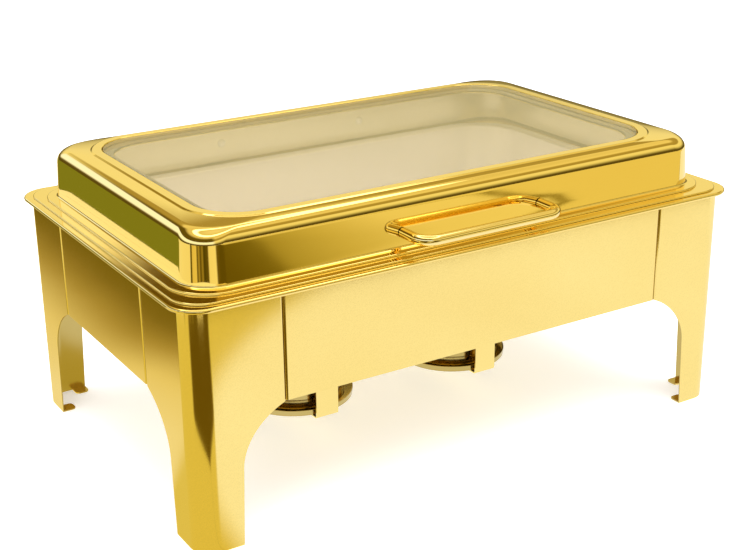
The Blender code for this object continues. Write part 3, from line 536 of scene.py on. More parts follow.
    @staticmethod
    def box(low: Point, high: Point) -> bpy.types.Object:
        """A block between two corners, for cutting with.

        Args:
            low: Its lowest corner.
            high: Its highest corner.

        Returns:
            The block.
        """
        Bench.clear()
        centre = [(a + b) / 2 for a, b in zip(low, high)]
        bpy.ops.mesh.primitive_cube_add(size=1.0, location=centre)
        piece = bpy.context.object
        piece.scale = [b - a for a, b in zip(low, high)]
        return Bench.settle(piece)

    @staticmethod
    def combine(piece: bpy.types.Object, tool: bpy.types.Object, operation: str) -> None:
        """Cuts or joins a piece with a tool, which is used up.

        Args:
            piece: The piece to change.
            tool: The piece that cuts it or joins it.
            operation: DIFFERENCE or UNION.
        """
        Bench.modify(piece, "BOOLEAN", object=tool, operation=operation, solver="EXACT")
        bpy.data.objects.remove(tool, do_unlink=True)

    @staticmethod
    def drill(piece: bpy.types.Object, place: Point, radius: float, depth: float, turn: Point) -> None:
        """Drills a round hole centred on a place.

        Args:
            piece: The piece to drill.
            place: The middle of the hole.
            radius: The hole's radius.
            depth: The drill's length.
            turn: How the drill is turned from upright.
        """
        Bench.clear()
        bpy.ops.mesh.primitive_cylinder_add(
            vertices=40,
            radius=radius,
            depth=depth,
            location=place,
            rotation=turn,
        )
        Bench.combine(piece, Bench.settle(bpy.context.object), "DIFFERENCE")

    @staticmethod
    def arc(centre: Flat, radius: float, start: float, sweep: float, steps: int) -> list[Flat]:
        """Points on an arc, both ends included; angles are in degrees.

        Args:
            centre: The arc's centre.
            radius: Its radius.
            start: The angle that it starts at.
            sweep: How far round it goes, anticlockwise.
            steps: The number of its segments.

        Returns:
            The points in order.
        """
        points = []
        for index in range(steps + 1):
            angle = math.radians(start + sweep * index / steps)
            points.append((centre[0] + radius * math.cos(angle), centre[1] + radius * math.sin(angle)))
        return points


# ------------------------------------------------------------------ shader bench
Value = Union[float, Colour, "Wire"]
Stops = Sequence[tuple[float, Colour]]


class Wire:
    """A shader socket that expressions can be written with."""

    def __init__(self, graph: "Graph", socket: bpy.types.NodeSocket) -> None:
        """Wraps a socket of a graph.

        Args:
            graph: The graph that the socket is in.
            socket: The output socket.
        """
        self.graph = graph
        self.socket = socket

    def __add__(self, other: Value) -> "Wire":
        """The sum."""
        return self.graph.math("ADD", self, other)

    def __radd__(self, other: Value) -> "Wire":
        """The sum, from the right."""
        return self.graph.math("ADD", other, self)

    def __sub__(self, other: Value) -> "Wire":
        """The difference."""
        return self.graph.math("SUBTRACT", self, other)

    def __rsub__(self, other: Value) -> "Wire":
        """The difference, from the right."""
        return self.graph.math("SUBTRACT", other, self)

    def __mul__(self, other: Value) -> "Wire":
        """The product."""
        return self.graph.math("MULTIPLY", self, other)

    def __rmul__(self, other: Value) -> "Wire":
        """The product, from the right."""
        return self.graph.math("MULTIPLY", other, self)


class Graph:
    """A material, or another node tree, under construction."""

    def __init__(self, name: str, tree: Optional[bpy.types.NodeTree] = None) -> None:
        """Starts an empty material, or empties the tree that is given.

        Args:
            name: The new material's name.
            tree: A tree to fill instead of a new material's.
        """
        self.material: Optional[bpy.types.Material] = None
        if tree is None:
            self.material = bpy.data.materials.new(name)
            self.material.use_nodes = True
            tree = self.material.node_tree
        self.tree = tree
        self.tree.nodes.clear()

    def node(
        self,
        kind: str,
        settings: Optional[dict[str, object]] = None,
        sockets: Optional[dict[Union[int, str], object]] = None,
    ) -> bpy.types.Node:
        """Adds a node.

        Args:
            kind: Its type without the ShaderNode prefix.
            settings: Its properties, and stops for a ramp.
            sockets: Values or wires for its inputs, by name or number.

        Returns:
            The node.
        """
        node = self.tree.nodes.new("ShaderNode" + kind)
        for key, value in (settings or {}).items():
            if key == "stops":
                self.set_stops(node.color_ramp, value)
            else:
                setattr(node, key, value)
        for key, value in (sockets or {}).items():
            target = node.inputs[key]
            if isinstance(value, Wire):
                self.tree.links.new(value.socket, target)
            elif isinstance(value, tuple) and target.type == "RGBA":
                target.default_value = (*value, 1.0)
            else:
                target.default_value = value
        return node

    @staticmethod
    def set_stops(ramp: bpy.types.ColorRamp, stops: Stops) -> None:
        """Gives a ramp these stops.

        Args:
            ramp: The ramp to fill.
            stops: Each stop's place and colour, in order.
        """
        while len(ramp.elements) > 1:
            ramp.elements.remove(ramp.elements[-1])
        for index, (position, colour) in enumerate(stops):
            stop = ramp.elements[0] if index == 0 else ramp.elements.new(position)
            stop.position = position
            stop.color = (*colour, 1.0)

    def wire(self, node: bpy.types.Node, output: Union[int, str] = 0) -> Wire:
        """One output of a node."""
        return Wire(self, node.outputs[output])

    def math(self, operation: str, first: Value, second: Value = 0.0) -> Wire:
        """A Math node on two values."""
        return self.wire(self.node("Math", {"operation": operation}, {0: first, 1: second}))

    def reach(self, across: Wire, along: Wire) -> Wire:
        """The distance that two offsets make."""
        return self.math("SQRT", across * across + along * along)

    def place(self, scale: Point = (1.0, 1.0, 1.0), turn: Point = UPRIGHT) -> Wire:
        """The object's own coordinates, in metres where they aren't scaled.

        Args:
            scale: What each coordinate is multiplied by.
            turn: How they are turned, in radians.

        Returns:
            The coordinates.
        """
        source = self.wire(self.node("TexCoord"), "Object")
        sockets = {"Vector": source, "Scale": scale, "Rotation": turn}
        return self.wire(self.node("Mapping", None, sockets))

    def noise(self, place: Wire, scale: float, detail: float = 2.0, roughness: float = 0.5) -> Wire:
        """Cloudy noise, about 0.5 on average.

        Args:
            place: The coordinates.
            scale: How many clouds there are in a metre.
            detail: How many finer layers it has.
            roughness: How strong the finer layers are.

        Returns:
            The noise's value.
        """
        sockets = {"Vector": place, "Scale": scale, "Detail": detail, "Roughness": roughness}
        return self.wire(self.node("TexNoise", None, sockets))

    def span(self, value: Value, low: float, high: float, start: float = 0.0, end: float = 1.0) -> Wire:
        """Maps low..high smoothly to start..end.

        Args:
            value: The value to map.
            low: Where the change begins.
            high: Where it is complete.
            start: The result at low.
            end: The result at high.

        Returns:
            The mapped value.
        """
        sockets = {"Value": value, "From Min": low, "From Max": high, "To Min": start, "To Max": end}
        return self.wire(self.node("MapRange", {"interpolation_type": "SMOOTHSTEP"}, sockets))

    def mix(self, share: Value, first: Value, second: Value) -> Wire:
        """Blends two colours.

        Args:
            share: The second colour's share.
            first: The first colour.
            second: The second colour.

        Returns:
            The blend.
        """
        node = self.node("Mix", {"data_type": "RGBA"}, {0: share, 6: first, 7: second})
        return Wire(self, node.outputs[2])

    def ramp(self, value: Wire, stops: Stops) -> Wire:
        """A colour ramp."""
        return self.wire(self.node("ValToRGB", {"stops": stops}, {"Fac": value}))

    def bump(self, height: Wire, distance: float, under: Optional[Wire] = None) -> Wire:
        """A bump on the surface, or on another bump.

        Args:
            height: The height that the bump follows.
            distance: The bump's depth, in metres.
            under: A bump that this one lies on.

        Returns:
            The normal.
        """
        sockets: dict[str, Value] = {"Height": height, "Distance": distance, "Strength": 1.0}
        if under is not None:
            sockets["Normal"] = under
        return self.wire(self.node("Bump", None, sockets))

    def output(self, shader: Wire, kind: str = "OutputMaterial") -> Optional[bpy.types.Material]:
        """Ends the tree with this shader."""
        self.node(kind, None, {"Surface": shader})
        return self.material

    def surface(self, kind: str, sockets: dict[str, Value]) -> Optional[bpy.types.Material]:
        """Ends the tree with a shader of this type, set so."""
        return self.output(self.wire(self.node(kind, None, sockets)))


# ------------------------------------------------------------------ finishes
GOLD_PALE: Colour = (1.0, 0.79, 0.28)
GOLD_DEEP: Colour = (0.98, 0.75, 0.24)
FLECK_GOLD: Colour = (0.50, 0.33, 0.06)


class Grain(Enum):
    """The direction of the marks that the polishing left, as the pattern's scale on each axis."""

    EVEN = (1.0, 1.0, 1.0)
    ALONG_X = (0.04, 1.0, 1.0)


@dataclass(frozen=True)
class PlatedMetal:
    """Plated and polished sheet metal.

    Attributes:
        name: The finish's name.
        pale: The lighter of its two tones.
        deep: The deeper tone.
        roughness: How much it blurs what it mirrors.
        smudge: How far the roughness wanders.
        grain_size: The spacing of the fine grain, in metres.
        grain_depth: The depth of the grain.
        wave_depth: The depth of the slow waviness of pressed sheet.
        grain: The direction of the polishing marks.
        metal: How far it mirrors as bare metal does; less of it scatters as a matt blasted face does.
        fleck: How strongly the grain shows as fine darker flecks.
    """

    name: str
    pale: Colour
    deep: Colour
    roughness: float
    smudge: float = 0.04
    grain_size: float = 0.0006
    grain_depth: float = 0.000001
    wave_depth: float = 0.00012
    grain: Grain = Grain.EVEN
    metal: float = 1.0
    fleck: float = 0.0

    def material(self) -> bpy.types.Material:
        """Builds the material.

        Returns:
            The material.
        """
        graph = Graph(self.name)
        place = graph.place()
        tone = graph.mix(graph.noise(place, 9.0, 4.0), self.pale, self.deep)
        marks = graph.noise(graph.place(self.grain.value), 1.0 / self.grain_size, 3.0, 0.6)
        if self.fleck:
            tone = graph.mix(self.fleck * graph.span(marks, 0.38, 0.62), tone, FLECK_GOLD)
        smear = graph.noise(graph.place(self.grain.value), 60.0, 5.0, 0.6)
        rough = self.roughness + self.smudge * (smear - 0.5) + self.smudge * 0.5 * (marks - 0.5)
        wave = graph.bump(graph.noise(place, 4.0, 1.0), self.wave_depth)
        normal = graph.bump(marks, self.grain_depth, wave)
        sockets = {"Base Color": tone, "Metallic": self.metal, "Roughness": rough, "Normal": normal}
        return graph.surface("BsdfPrincipled", sockets)


@dataclass(frozen=True)
class WindowGlass:
    """Clear tempered glass with a faint warm tint."""

    name: str = "window_glass"
    tint: Colour = (0.97, 0.955, 0.93)
    head_on: float = 0.04

    def material(self) -> bpy.types.Material:
        """Builds the material: a clear pane under a mirror that grows towards the edge of sight.

        Returns:
            The material.
        """
        graph = Graph(self.name)
        film = graph.noise(graph.place(), 14.0, 4.0)
        rough = 0.02 + 0.03 * film
        sockets = {"Base Color": (1.0, 0.98, 0.93), "Metallic": 1.0, "Roughness": rough}
        mirror = graph.wire(graph.node("BsdfPrincipled", None, sockets))
        clear = graph.wire(graph.node("BsdfTransparent", None, {"Color": self.tint}))
        slant = graph.wire(graph.node("LayerWeight", None, {"Blend": 0.5}), "Facing")
        share = self.head_on + (1.0 - self.head_on) * graph.math("POWER", slant, 5.0) + 0.02 * film
        shader = graph.node("MixShader", None, {0: share, 1: clear, 2: mirror})
        return graph.output(graph.wire(shader))


@dataclass(frozen=True)
class Silicone:
    """The soft ring that the glass is bedded in."""

    name: str = "bedding_silicone"
    light: Colour = (0.15, 0.125, 0.085)
    dark: Colour = (0.11, 0.09, 0.06)

    def material(self) -> bpy.types.Material:
        """Builds the material.

        Returns:
            The material.
        """
        graph = Graph(self.name)
        place = graph.place()
        tone = graph.mix(graph.noise(place, 40.0, 5.0), self.light, self.dark)
        pores = graph.noise(place, 900.0, 3.0)
        sockets = {
            "Base Color": tone,
            "Roughness": 0.45 + 0.2 * (pores - 0.5),
            "Normal": graph.bump(pores, 0.00002),
        }
        return graph.surface("BsdfPrincipled", sockets)


MIRROR_GOLD = PlatedMetal("mirror_gold", GOLD_PALE, GOLD_DEEP, roughness=0.055)
SHEET_GOLD = PlatedMetal(
    "sheet_gold",
    GOLD_PALE,
    GOLD_DEEP,
    roughness=0.10,
    grain_size=0.0010,
    grain_depth=0.000010,
    fleck=0.08,
)
BAR_GOLD = PlatedMetal(
    "bar_gold",
    pale=(1.0, 0.82, 0.36),
    deep=(0.98, 0.77, 0.28),
    roughness=0.08,
    smudge=0.05,
)
# A darker gold painted as shade: for the legs' inward faces, the tops of the foot tabs, and the burner
# parts that stand under the dish.
PAINTED_SHADE_GOLD = PlatedMetal(
    "painted_shade_gold",
    pale=(0.62, 0.48, 0.17),
    deep=(0.50, 0.37, 0.10),
    roughness=0.18,
    grain_size=0.0009,
    grain_depth=0.000004,
)
PALE_STEEL = PlatedMetal(
    "serving_steel",
    pale=(0.94, 0.89, 0.84),
    deep=(0.88, 0.82, 0.76),
    roughness=0.24,
    smudge=0.06,
    grain_size=0.0008,
    grain_depth=0.000003,
    wave_depth=0.0001,
    grain=Grain.ALONG_X,
    metal=0.55,
)
CHAMPAGNE = PlatedMetal(
    "lid_lining",
    pale=(0.94, 0.87, 0.69),
    deep=(0.89, 0.81, 0.61),
    roughness=0.18,
    smudge=0.05,
    metal=0.4,
)
# Pale steel with a painted glint: the near-white, half-matt base makes the rivet heads seen through the
# glass show as bright ovals.
GLINT_STEEL = PlatedMetal(
    "fastener_steel_glint",
    pale=(0.98, 0.96, 0.92),
    deep=(0.92, 0.90, 0.85),
    roughness=0.14,
    smudge=0.05,
    metal=0.45,
)


Finish = Union[PlatedMetal, WindowGlass, Silicone]


class Shop:
    """Keeps one material for each finish and fits finished pieces to the frame."""

    def __init__(self) -> None:
        """Starts with no materials."""
        self.made: dict[str, bpy.types.Material] = {}

    def material(self, finish: Finish) -> bpy.types.Material:
        """The material of a finish, made once.

        Args:
            finish: The finish.

        Returns:
            Its material.
        """
        if finish.name not in self.made:
            self.made[finish.name] = finish.material()
        return self.made[finish.name]

    def fit(
        self,
        piece: bpy.types.Object,
        node: str,
        finish: Finish,
        inside: Optional[PlatedMetal] = None,
        is_inside: Optional[Callable[[bpy.types.MeshPolygon], bool]] = None,
    ) -> None:
        """Dresses a piece and puts it in the place of a node.

        Args:
            piece: The finished piece.
            node: The node that it stands for.
            finish: What it is finished in.
            inside: Another finish for some of its faces.
            is_inside: Which faces those are.
        """
        piece.data.materials.clear()
        piece.data.materials.append(self.material(finish))
        if inside is not None and is_inside is not None:
            piece.data.materials.append(self.material(inside))
            for face in piece.data.polygons:
                face.material_index = int(is_inside(face))
        body = next(name for name, nodes in NODE_BODIES.items() if node in nodes)
        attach(piece, body)
        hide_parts(node)
        log.info("%s rides on %s with %d faces", piece.name, body, len(piece.data.polygons))


# ------------------------------------------------------------------ sub-assemblies
@dataclass
class LegFrame:
    """Four bent legs and four panels under a rolled rim.

    Sizes are in metres. The halves are measured from the middle of the dish to the outer faces, and
    the heights from the table.
    """

    half_x: float = 0.291
    half_y: float = 0.188
    corner: float = 0.020
    sheet: float = 0.0010
    seam_x: float = 0.205
    seam_y: float = 0.095
    fold: float = 0.009
    fold_radius: float = 0.0022
    panel_low: float = 0.1240
    top: float = 0.2228
    gap: float = 0.00015
    front_foot: float = 0.041
    side_foot: float = 0.047
    foot_taper: float = 0.003
    arch_spring: float = 0.070
    arch_lead: float = 0.024
    arch_drop: float = 0.0093
    overcut: float = 0.006
    tab: float = 0.014
    tab_sheet: float = 0.0014
    tab_tip: float = 0.0045
    cutter: float = 0.028
    below: float = 0.004
    ledge: float = 0.2240
    rim_low: float = 0.2200
    overhang: float = 0.0079
    bead: float = 0.0020
    ledge_width: float = 0.018
    lip: float = 0.011
    rim_sheet: float = 0.0009

    def build(self, shop: Shop) -> None:
        """Builds and fits every piece of the frame.

        Args:
            shop: The shop that dresses the pieces.
        """
        for end, side_y in ENDS:
            for side, side_x in SIDES:
                leg = self.leg(side_x, side_y)
                leg = Bench.polish(leg, f"bent_leg_{end}_{side}")
                # Faces that look into the space under the dish get the darker gold: painted shade.
                shop.fit(leg, f"leg_{end}_{side}", SHEET_GOLD, PAINTED_SHADE_GOLD, self.faces_in)
        turns = {"front": 0.0, "rear": math.pi, "left": -math.pi / 2, "right": math.pi / 2}
        for side, turn in turns.items():
            long = side in ("front", "rear")
            half, out = (self.seam_x, self.half_y) if long else (self.seam_y, self.half_x)
            panel = self.panel(half, out, turn)
            shop.fit(Bench.polish(panel, f"folded_panel_{side}"), f"panel_{side}", SHEET_GOLD)
        shop.fit(self.rim(), "frame_rim", MIRROR_GOLD)

    def faces_in(self, face: bpy.types.MeshPolygon) -> bool:
        """Whether a face of a leg looks inward or is the top of a foot tab.

        Args:
            face: The face.

        Returns:
            True for the sheet's inner side, which is given the darker gold as painted shade.
        """
        inward = Vector((-face.center.x, CENTRE_Y - face.center.y)).normalized()
        on_tab = face.normal.z > 0.5 and face.center.z < 0.01
        return on_tab or face.normal.xy.dot(inward) > 0.2

    def leg(self, side_x: int, side_y: int) -> bpy.types.Object:
        """One leg: two faces round a bend, arched below, with folded seams and foot tabs.

        Args:
            side_x: -1 for a left leg, 1 for a right one.
            side_y: -1 for a front leg, 1 for a rear one.

        Returns:
            The leg, not yet shaded.
        """
        end_x, end_y = self.seam_x + self.gap, self.seam_y + self.gap
        path = [
            (end_x, self.half_y - self.fold),
            (end_x, self.half_y),
            (self.half_x, self.half_y),
            (self.half_x, end_y),
            (self.half_x - self.fold, end_y),
        ]
        path = [(side_x * x, side_y * y) for x, y in path]
        if side_x * side_y < 0:
            path.reverse()
        path = [(x, y + CENTRE_Y) for x, y in path]
        bends = (self.fold_radius, self.corner, self.fold_radius)
        leg = Bench.folded(path, bends, 0.0, self.top, -self.sheet, steps=14)
        upright = Matrix.Rotation(math.radians(90), 4, "X")
        front = self.arch(self.seam_x, self.half_x, self.front_foot)
        turn = Matrix.Rotation(0.0 if side_x > 0 else math.pi, 4, "Z")
        place = Matrix.Translation((0.0, CENTRE_Y + side_y * self.half_y, 0.0))
        Bench.combine(leg, Bench.cut_out([front], self.cutter, place @ turn @ upright), "DIFFERENCE")
        side = self.arch(self.seam_y, self.half_y, self.side_foot)
        turn = Matrix.Rotation(side_y * math.pi / 2, 4, "Z")
        place = Matrix.Translation((side_x * self.half_x, CENTRE_Y, 0.0))
        Bench.combine(leg, Bench.cut_out([side], self.cutter, place @ turn @ upright), "DIFFERENCE")
        x = side_x * (self.half_x - self.front_foot + self.tab / 2)
        y = side_y * (self.half_y - self.side_foot + self.tab / 2)
        inset = self.sheet / 2
        front_turn = 0.0 if side_y < 0 else math.pi
        self.add_tab(leg, (x, side_y * (self.half_y - inset)), front_turn)
        self.add_tab(leg, (side_x * (self.half_x - inset), y), side_x * math.pi / 2)
        return leg

    def arch(self, start: float, corner: float, foot: float) -> list[Flat]:
        """The outline cut away below one face, as distance along the face and height.

        Args:
            start: The seam's distance from the middle.
            corner: The corner's distance from the middle.
            foot: The foot's width.

        Returns:
            The outline.
        """
        foot_top = corner - foot - self.foot_taper
        points = [(corner - foot, -self.below)]
        spots = [
            Vector((foot_top, self.arch_spring)),
            Vector((foot_top, self.arch_spring + self.arch_lead)),
            Vector((start + self.arch_lead, self.panel_low - self.arch_drop)),
            Vector((start, self.panel_low)),
        ]
        steps = 40
        for index in range(steps + 1):
            t = index / steps
            shares = ((1 - t) ** 3, 3 * t * (1 - t) ** 2, 3 * t * t * (1 - t), t**3)
            point = sum((spot * share for spot, share in zip(spots, shares)), Vector((0.0, 0.0)))
            points.append((point.x, point.y))
        points += [(start - self.overcut, self.panel_low), (start - self.overcut, -self.below)]
        return points

    def add_tab(self, leg: bpy.types.Object, place: Flat, turn: float) -> None:
        """Joins one inward foot tab to a leg.

        Args:
            leg: The leg.
            place: The middle of the tab's root, from the middle of the dish.
            turn: Which way the tab points, as a turn from the rear.
        """
        half = self.tab / 2
        tip = self.tab_tip
        outline = [(-half, 0.0), (half, 0.0)]
        outline += Bench.arc((half - tip, self.tab - tip), tip, 0, 90, 8)
        outline += Bench.arc((tip - half, self.tab - tip), tip, 90, 90, 8)
        spot = Matrix.Translation((place[0], place[1] + CENTRE_Y, self.tab_sheet / 2))
        tab = Bench.cut_out([outline], self.tab_sheet, spot @ Matrix.Rotation(turn, 4, "Z"))
        Bench.combine(leg, tab, "UNION")

    def panel(self, half: float, out: float, turn: float) -> bpy.types.Object:
        """One flat panel with its ends folded inward.

        Args:
            half: Half its width, to the seam.
            out: Its distance from the middle.
            turn: Which side it stands on, as a turn from the front.

        Returns:
            The panel, not yet shaded.
        """
        end = half - self.gap
        path = [(-end, self.fold - out), (-end, -out), (end, -out), (end, self.fold - out)]
        bends = (self.fold_radius, self.fold_radius)
        panel = Bench.folded(path, bends, self.panel_low, self.top, self.sheet, steps=8)
        panel.rotation_euler = (0.0, 0.0, turn)
        panel.location = (0.0, CENTRE_Y, 0.0)
        return Bench.settle(panel)

    def rim(self) -> bpy.types.Object:
        """The rolled rim, its ledge and its inner lip.

        Returns:
            The rim.
        """

        def ring(out: float, height: float, soften: float = 0.0) -> Ring:
            """The frame's outline moved out, at a height."""
            radius = max(self.corner + out, 0.006)
            return Ring(self.half_x + out, self.half_y + out, radius, height, soften)

        rings = [
            ring(0.0003, self.rim_low),
            ring(self.overhang, self.rim_low, self.bead * 0.98),
            ring(self.overhang, self.ledge, self.bead * 0.98),
            ring(-self.ledge_width, self.ledge, 0.0012),
            ring(-self.ledge_width, self.ledge - self.lip),
        ]
        return Bench.pressed("rolled_rim", rings, self.rim_sheet, segments=20)


@dataclass
class Pans:
    """The water pan and the serving pan that hangs in it.

    Half sizes and heights are measured as the frame's are.
    """

    flange_top: float = 0.2257
    water_x: float = 0.2919
    water_y: float = 0.1889
    water_radius: float = 0.0289
    opening_x: float = 0.2565
    opening_y: float = 0.1540
    opening_radius: float = 0.055
    water_edge: float = 0.2243
    water_floor: float = 0.1315
    food_x: float = 0.265
    food_y: float = 0.1625
    food_radius: float = 0.062
    food_top: float = 0.2268
    food_flange: float = 0.0125
    food_bead: float = 0.0006
    food_floor: float = 0.1626
    draft: float = 0.0045
    sheet: float = 0.0008

    def build(self, shop: Shop) -> None:
        """Builds and fits both pans, in the shop that dresses the pieces."""
        shop.fit(self.water_pan(), "water_pan", MIRROR_GOLD)
        shop.fit(self.food_pan(), "food_pan", PALE_STEEL)

    def water_pan(self) -> bpy.types.Object:
        """The deep pan with a turned-down flange edge.

        Returns:
            The pan.
        """
        low_x, low_y = self.opening_x - self.draft, self.opening_y - self.draft
        rings = [
            Ring(self.water_x, self.water_y, self.water_radius, self.water_edge),
            Ring(self.water_x, self.water_y, self.water_radius, self.flange_top, 0.0009),
            Ring(self.opening_x, self.opening_y, self.opening_radius, self.flange_top, 0.0022),
            Ring(low_x, low_y, self.opening_radius - 0.002, self.water_floor, 0.012),
        ]
        pan = Bench.pressed("deep_water_pan", rings, self.sheet, floor=True)
        for _, side in SIDES:
            for spread in Hinges.spreads:
                place = (side * Hinges.offset + spread, CENTRE_Y + Hinges.rivet_line, self.flange_top)
                Bench.drill(pan, place, Hinges.pan_hole, 0.012, UPRIGHT)
        return pan

    def food_pan(self) -> bpy.types.Object:
        """The serving pan, with a stiffening bead round its flange.

        Returns:
            The pan.
        """

        def ring(inset: float, rise: float, soften: float = 0.0) -> Ring:
            """The flange's outline moved in, at a height over the flange."""
            x, y = self.food_x - inset, self.food_y - inset
            return Ring(x, y, self.food_radius - inset, self.food_top + rise, soften)

        edge_x, edge_y = self.food_x - self.food_flange, self.food_y - self.food_flange
        rings = [
            ring(0.0, -0.0005),
            ring(0.0002, 0.0, 0.0002),
            ring(0.0030, 0.0, 0.0005),
            ring(0.0042, self.food_bead, 0.0005),
            ring(0.0066, self.food_bead, 0.0005),
            ring(0.0078, 0.0, 0.0005),
            Ring(edge_x, edge_y, 0.052, self.food_top, 0.0022),
            Ring(edge_x - self.draft, edge_y - self.draft, 0.050, self.food_floor, 0.014),
        ]
        return Bench.pressed("serving_pan", rings, self.sheet, floor=True)


@dataclass
class Lid:
    """The lid shell, its window and its handle, with the lid closed.

    Half sizes and heights are measured as the frame's are.
    """

    wall_x: float = 0.274
    wall_y: float = 0.168
    wall_radius: float = 0.030
    flange: float = 0.0105
    bottom: float = 0.2260
    flange_top: float = 0.2276
    draft: float = 0.0015
    shoulder: float = 0.013
    shoulder_top: float = 0.2742
    top: float = 0.2775
    window_x: float = 0.2395
    window_y: float = 0.1415
    window_radius: float = 0.045
    seat: float = 0.2713
    seat_width: float = 0.0105
    sheet: float = 0.0008
    glass_top: float = 0.2771
    glass: float = 0.0040
    handle_half: float = 0.075
    handle_out: float = 0.032
    handle_radius: float = 0.00475
    handle_bend: float = 0.015
    handle_height: float = 0.2415
    screw_hole: float = 0.0023

    def build(self, shop: Shop) -> None:
        """Builds and fits every piece of the lid.

        Args:
            shop: The shop that dresses the pieces.
        """
        shop.fit(self.shell(), "lid_shell", MIRROR_GOLD, CHAMPAGNE, self.faces_in)
        shop.fit(self.pane(), "glass_pane", WindowGlass())
        shop.fit(self.bedding(), "glass_gasket", Silicone())
        shop.fit(self.handle(), "lid_handle", BAR_GOLD)
        for side, sign in SIDES:
            self.fastener(shop, side, sign)

    def wall_at(self, height: float) -> float:
        """The distance from the middle to the outer face of a long wall, at a height."""
        share = (height - self.flange_top) / (self.shoulder_top - self.shoulder - self.flange_top)
        return self.wall_y - self.draft * share

    def faces_in(self, face: bpy.types.MeshPolygon) -> bool:
        """Whether a face of the shell belongs to its lining.

        Args:
            face: The face.

        Returns:
            True for the side that faces the food.
        """
        middle = face.center - Vector((0.0, CENTRE_Y, 0.0))
        over_x = abs(middle.x) - (self.wall_x - self.wall_radius)
        over_y = abs(middle.y) - (self.wall_y - self.wall_radius)
        if over_x > 0.0 and over_y > 0.0:
            out = Vector((math.copysign(over_x, middle.x), math.copysign(over_y, middle.y), 0.0))
            out.normalize()
        elif self.wall_x - abs(middle.x) < self.wall_y - abs(middle.y):
            out = Vector((math.copysign(1.0, middle.x), 0.0, 0.0))
        else:
            out = Vector((0.0, math.copysign(1.0, middle.y), 0.0))
        outward, upward = face.normal.dot(out), face.normal.z
        edge = 0.0004
        if abs(middle.x) < self.window_x + edge and abs(middle.y) < self.window_y + edge:
            # In the window's opening the lining looks down, or out from behind the glass's seat.
            return upward < -0.3 or (upward < 0.3 and outward > 0.3)
        # Elsewhere a face of the shoulder leans both ways, so both looks are weighed together.
        return outward + upward * 0.8 < -0.05

    def shell(self) -> bpy.types.Object:
        """The pressed shell from its flange to the seat of the window.

        Returns:
            The shell, drilled for its screws and rivets.
        """

        def ring(out: float, height: float, radius: float, soften: float = 0.0) -> Ring:
            """The wall's outline moved out, at a height."""
            return Ring(self.wall_x + out, self.wall_y + out, radius, height, soften)

        inset = self.draft + 0.0012
        crease_x, crease_y = self.window_x + 0.0095, self.window_y + 0.0090
        rings = [
            ring(self.flange, self.bottom, self.wall_radius + self.flange),
            ring(self.flange, self.flange_top, self.wall_radius + self.flange, 0.0009),
            ring(0.0, self.flange_top, self.wall_radius, 0.0022),
            ring(-inset, self.shoulder_top + 0.0004, self.wall_radius - inset, self.shoulder * 0.95),
            Ring(self.window_x + 0.0110, self.window_y + 0.0102, 0.055, self.top - 0.0011, 0.0005),
            Ring(crease_x, crease_y, 0.054, self.top, 0.0005),
            Ring(self.window_x, self.window_y, self.window_radius, self.top, 0.0009),
            Ring(self.window_x, self.window_y, self.window_radius, self.seat, 0.0006),
            Ring(
                self.window_x - self.seat_width,
                self.window_y - self.seat_width,
                self.window_radius - 0.006,
                self.seat,
            ),
        ]
        shell = Bench.pressed("pressed_lid", rings, self.sheet, segments=20)
        for _, side in SIDES:
            place = (side * self.handle_half, CENTRE_Y - self.wall_y, self.handle_height)
            Bench.drill(shell, place, self.screw_hole, 0.012, FACING_FRONT)
            place = (side * Hinges.offset, CENTRE_Y + self.wall_y, Hinges.lid_rivet_height)
            Bench.drill(shell, place, Hinges.lid_hole, 0.012, FACING_FRONT)
        return shell

    def pane(self) -> bpy.types.Object:
        """The glass pane with ground edges.

        Returns:
            The pane.
        """
        play = 0.0006
        x, y, radius = self.window_x - play, self.window_y - play, self.window_radius - play
        low = self.glass_top - self.glass
        rings = [Ring(x, y, radius, low, 0.0004), Ring(x, y, radius, self.glass_top, 0.0006)]
        return Bench.pressed("window_pane", rings, floor=True, cover=True, segments=20, upward=None)

    def bedding(self) -> bpy.types.Object:
        """The ring between the glass and its seat.

        Returns:
            The ring.
        """
        top = self.glass_top - self.glass - CLEARANCE
        low = top - 0.0012
        play, reach, soften = 0.001, 0.0095, 0.0003
        outer = (self.window_x - play, self.window_y - play, self.window_radius - play)
        inner = (self.window_x - reach, self.window_y - reach, self.window_radius - 0.006)
        rings = [
            Ring(*outer, low, soften),
            Ring(*outer, top, soften),
            Ring(*inner, top, soften),
            Ring(*inner, low, soften),
        ]
        return Bench.pressed("window_bedding", rings, loop=True, segments=20, upward=None)

    def handle(self) -> bpy.types.Object:
        """The bent round bar, drilled at both ends.

        Returns:
            The bar.
        """
        wall = CENTRE_Y - self.wall_at(self.handle_height - self.handle_radius) - CLEARANCE
        out = CENTRE_Y - self.wall_y - self.handle_out
        bend = self.handle_bend
        inner = self.handle_half - bend
        points = [(-self.handle_half, wall), (-self.handle_half, out + bend + 0.004)]
        points += Bench.arc((-inner, out + bend), bend, 180, 90, 14)
        points += Bench.arc((inner, out + bend), bend, 270, 90, 14)
        points += [(self.handle_half, out + bend + 0.004), (self.handle_half, wall)]
        curve = bpy.data.curves.new("handle", "CURVE")
        curve.dimensions = "3D"
        curve.bevel_depth = self.handle_radius
        curve.bevel_resolution = 8
        curve.use_fill_caps = True
        Bench.draw(curve, points, self.handle_height)
        bar = Bench.as_mesh(curve)
        Bench.clean(bar)
        for _, side in SIDES:
            place = (side * self.handle_half, wall, self.handle_height)
            Bench.drill(bar, place, self.screw_hole, 0.020, FACING_FRONT)
        return Bench.polish(bar, "carrying_handle")

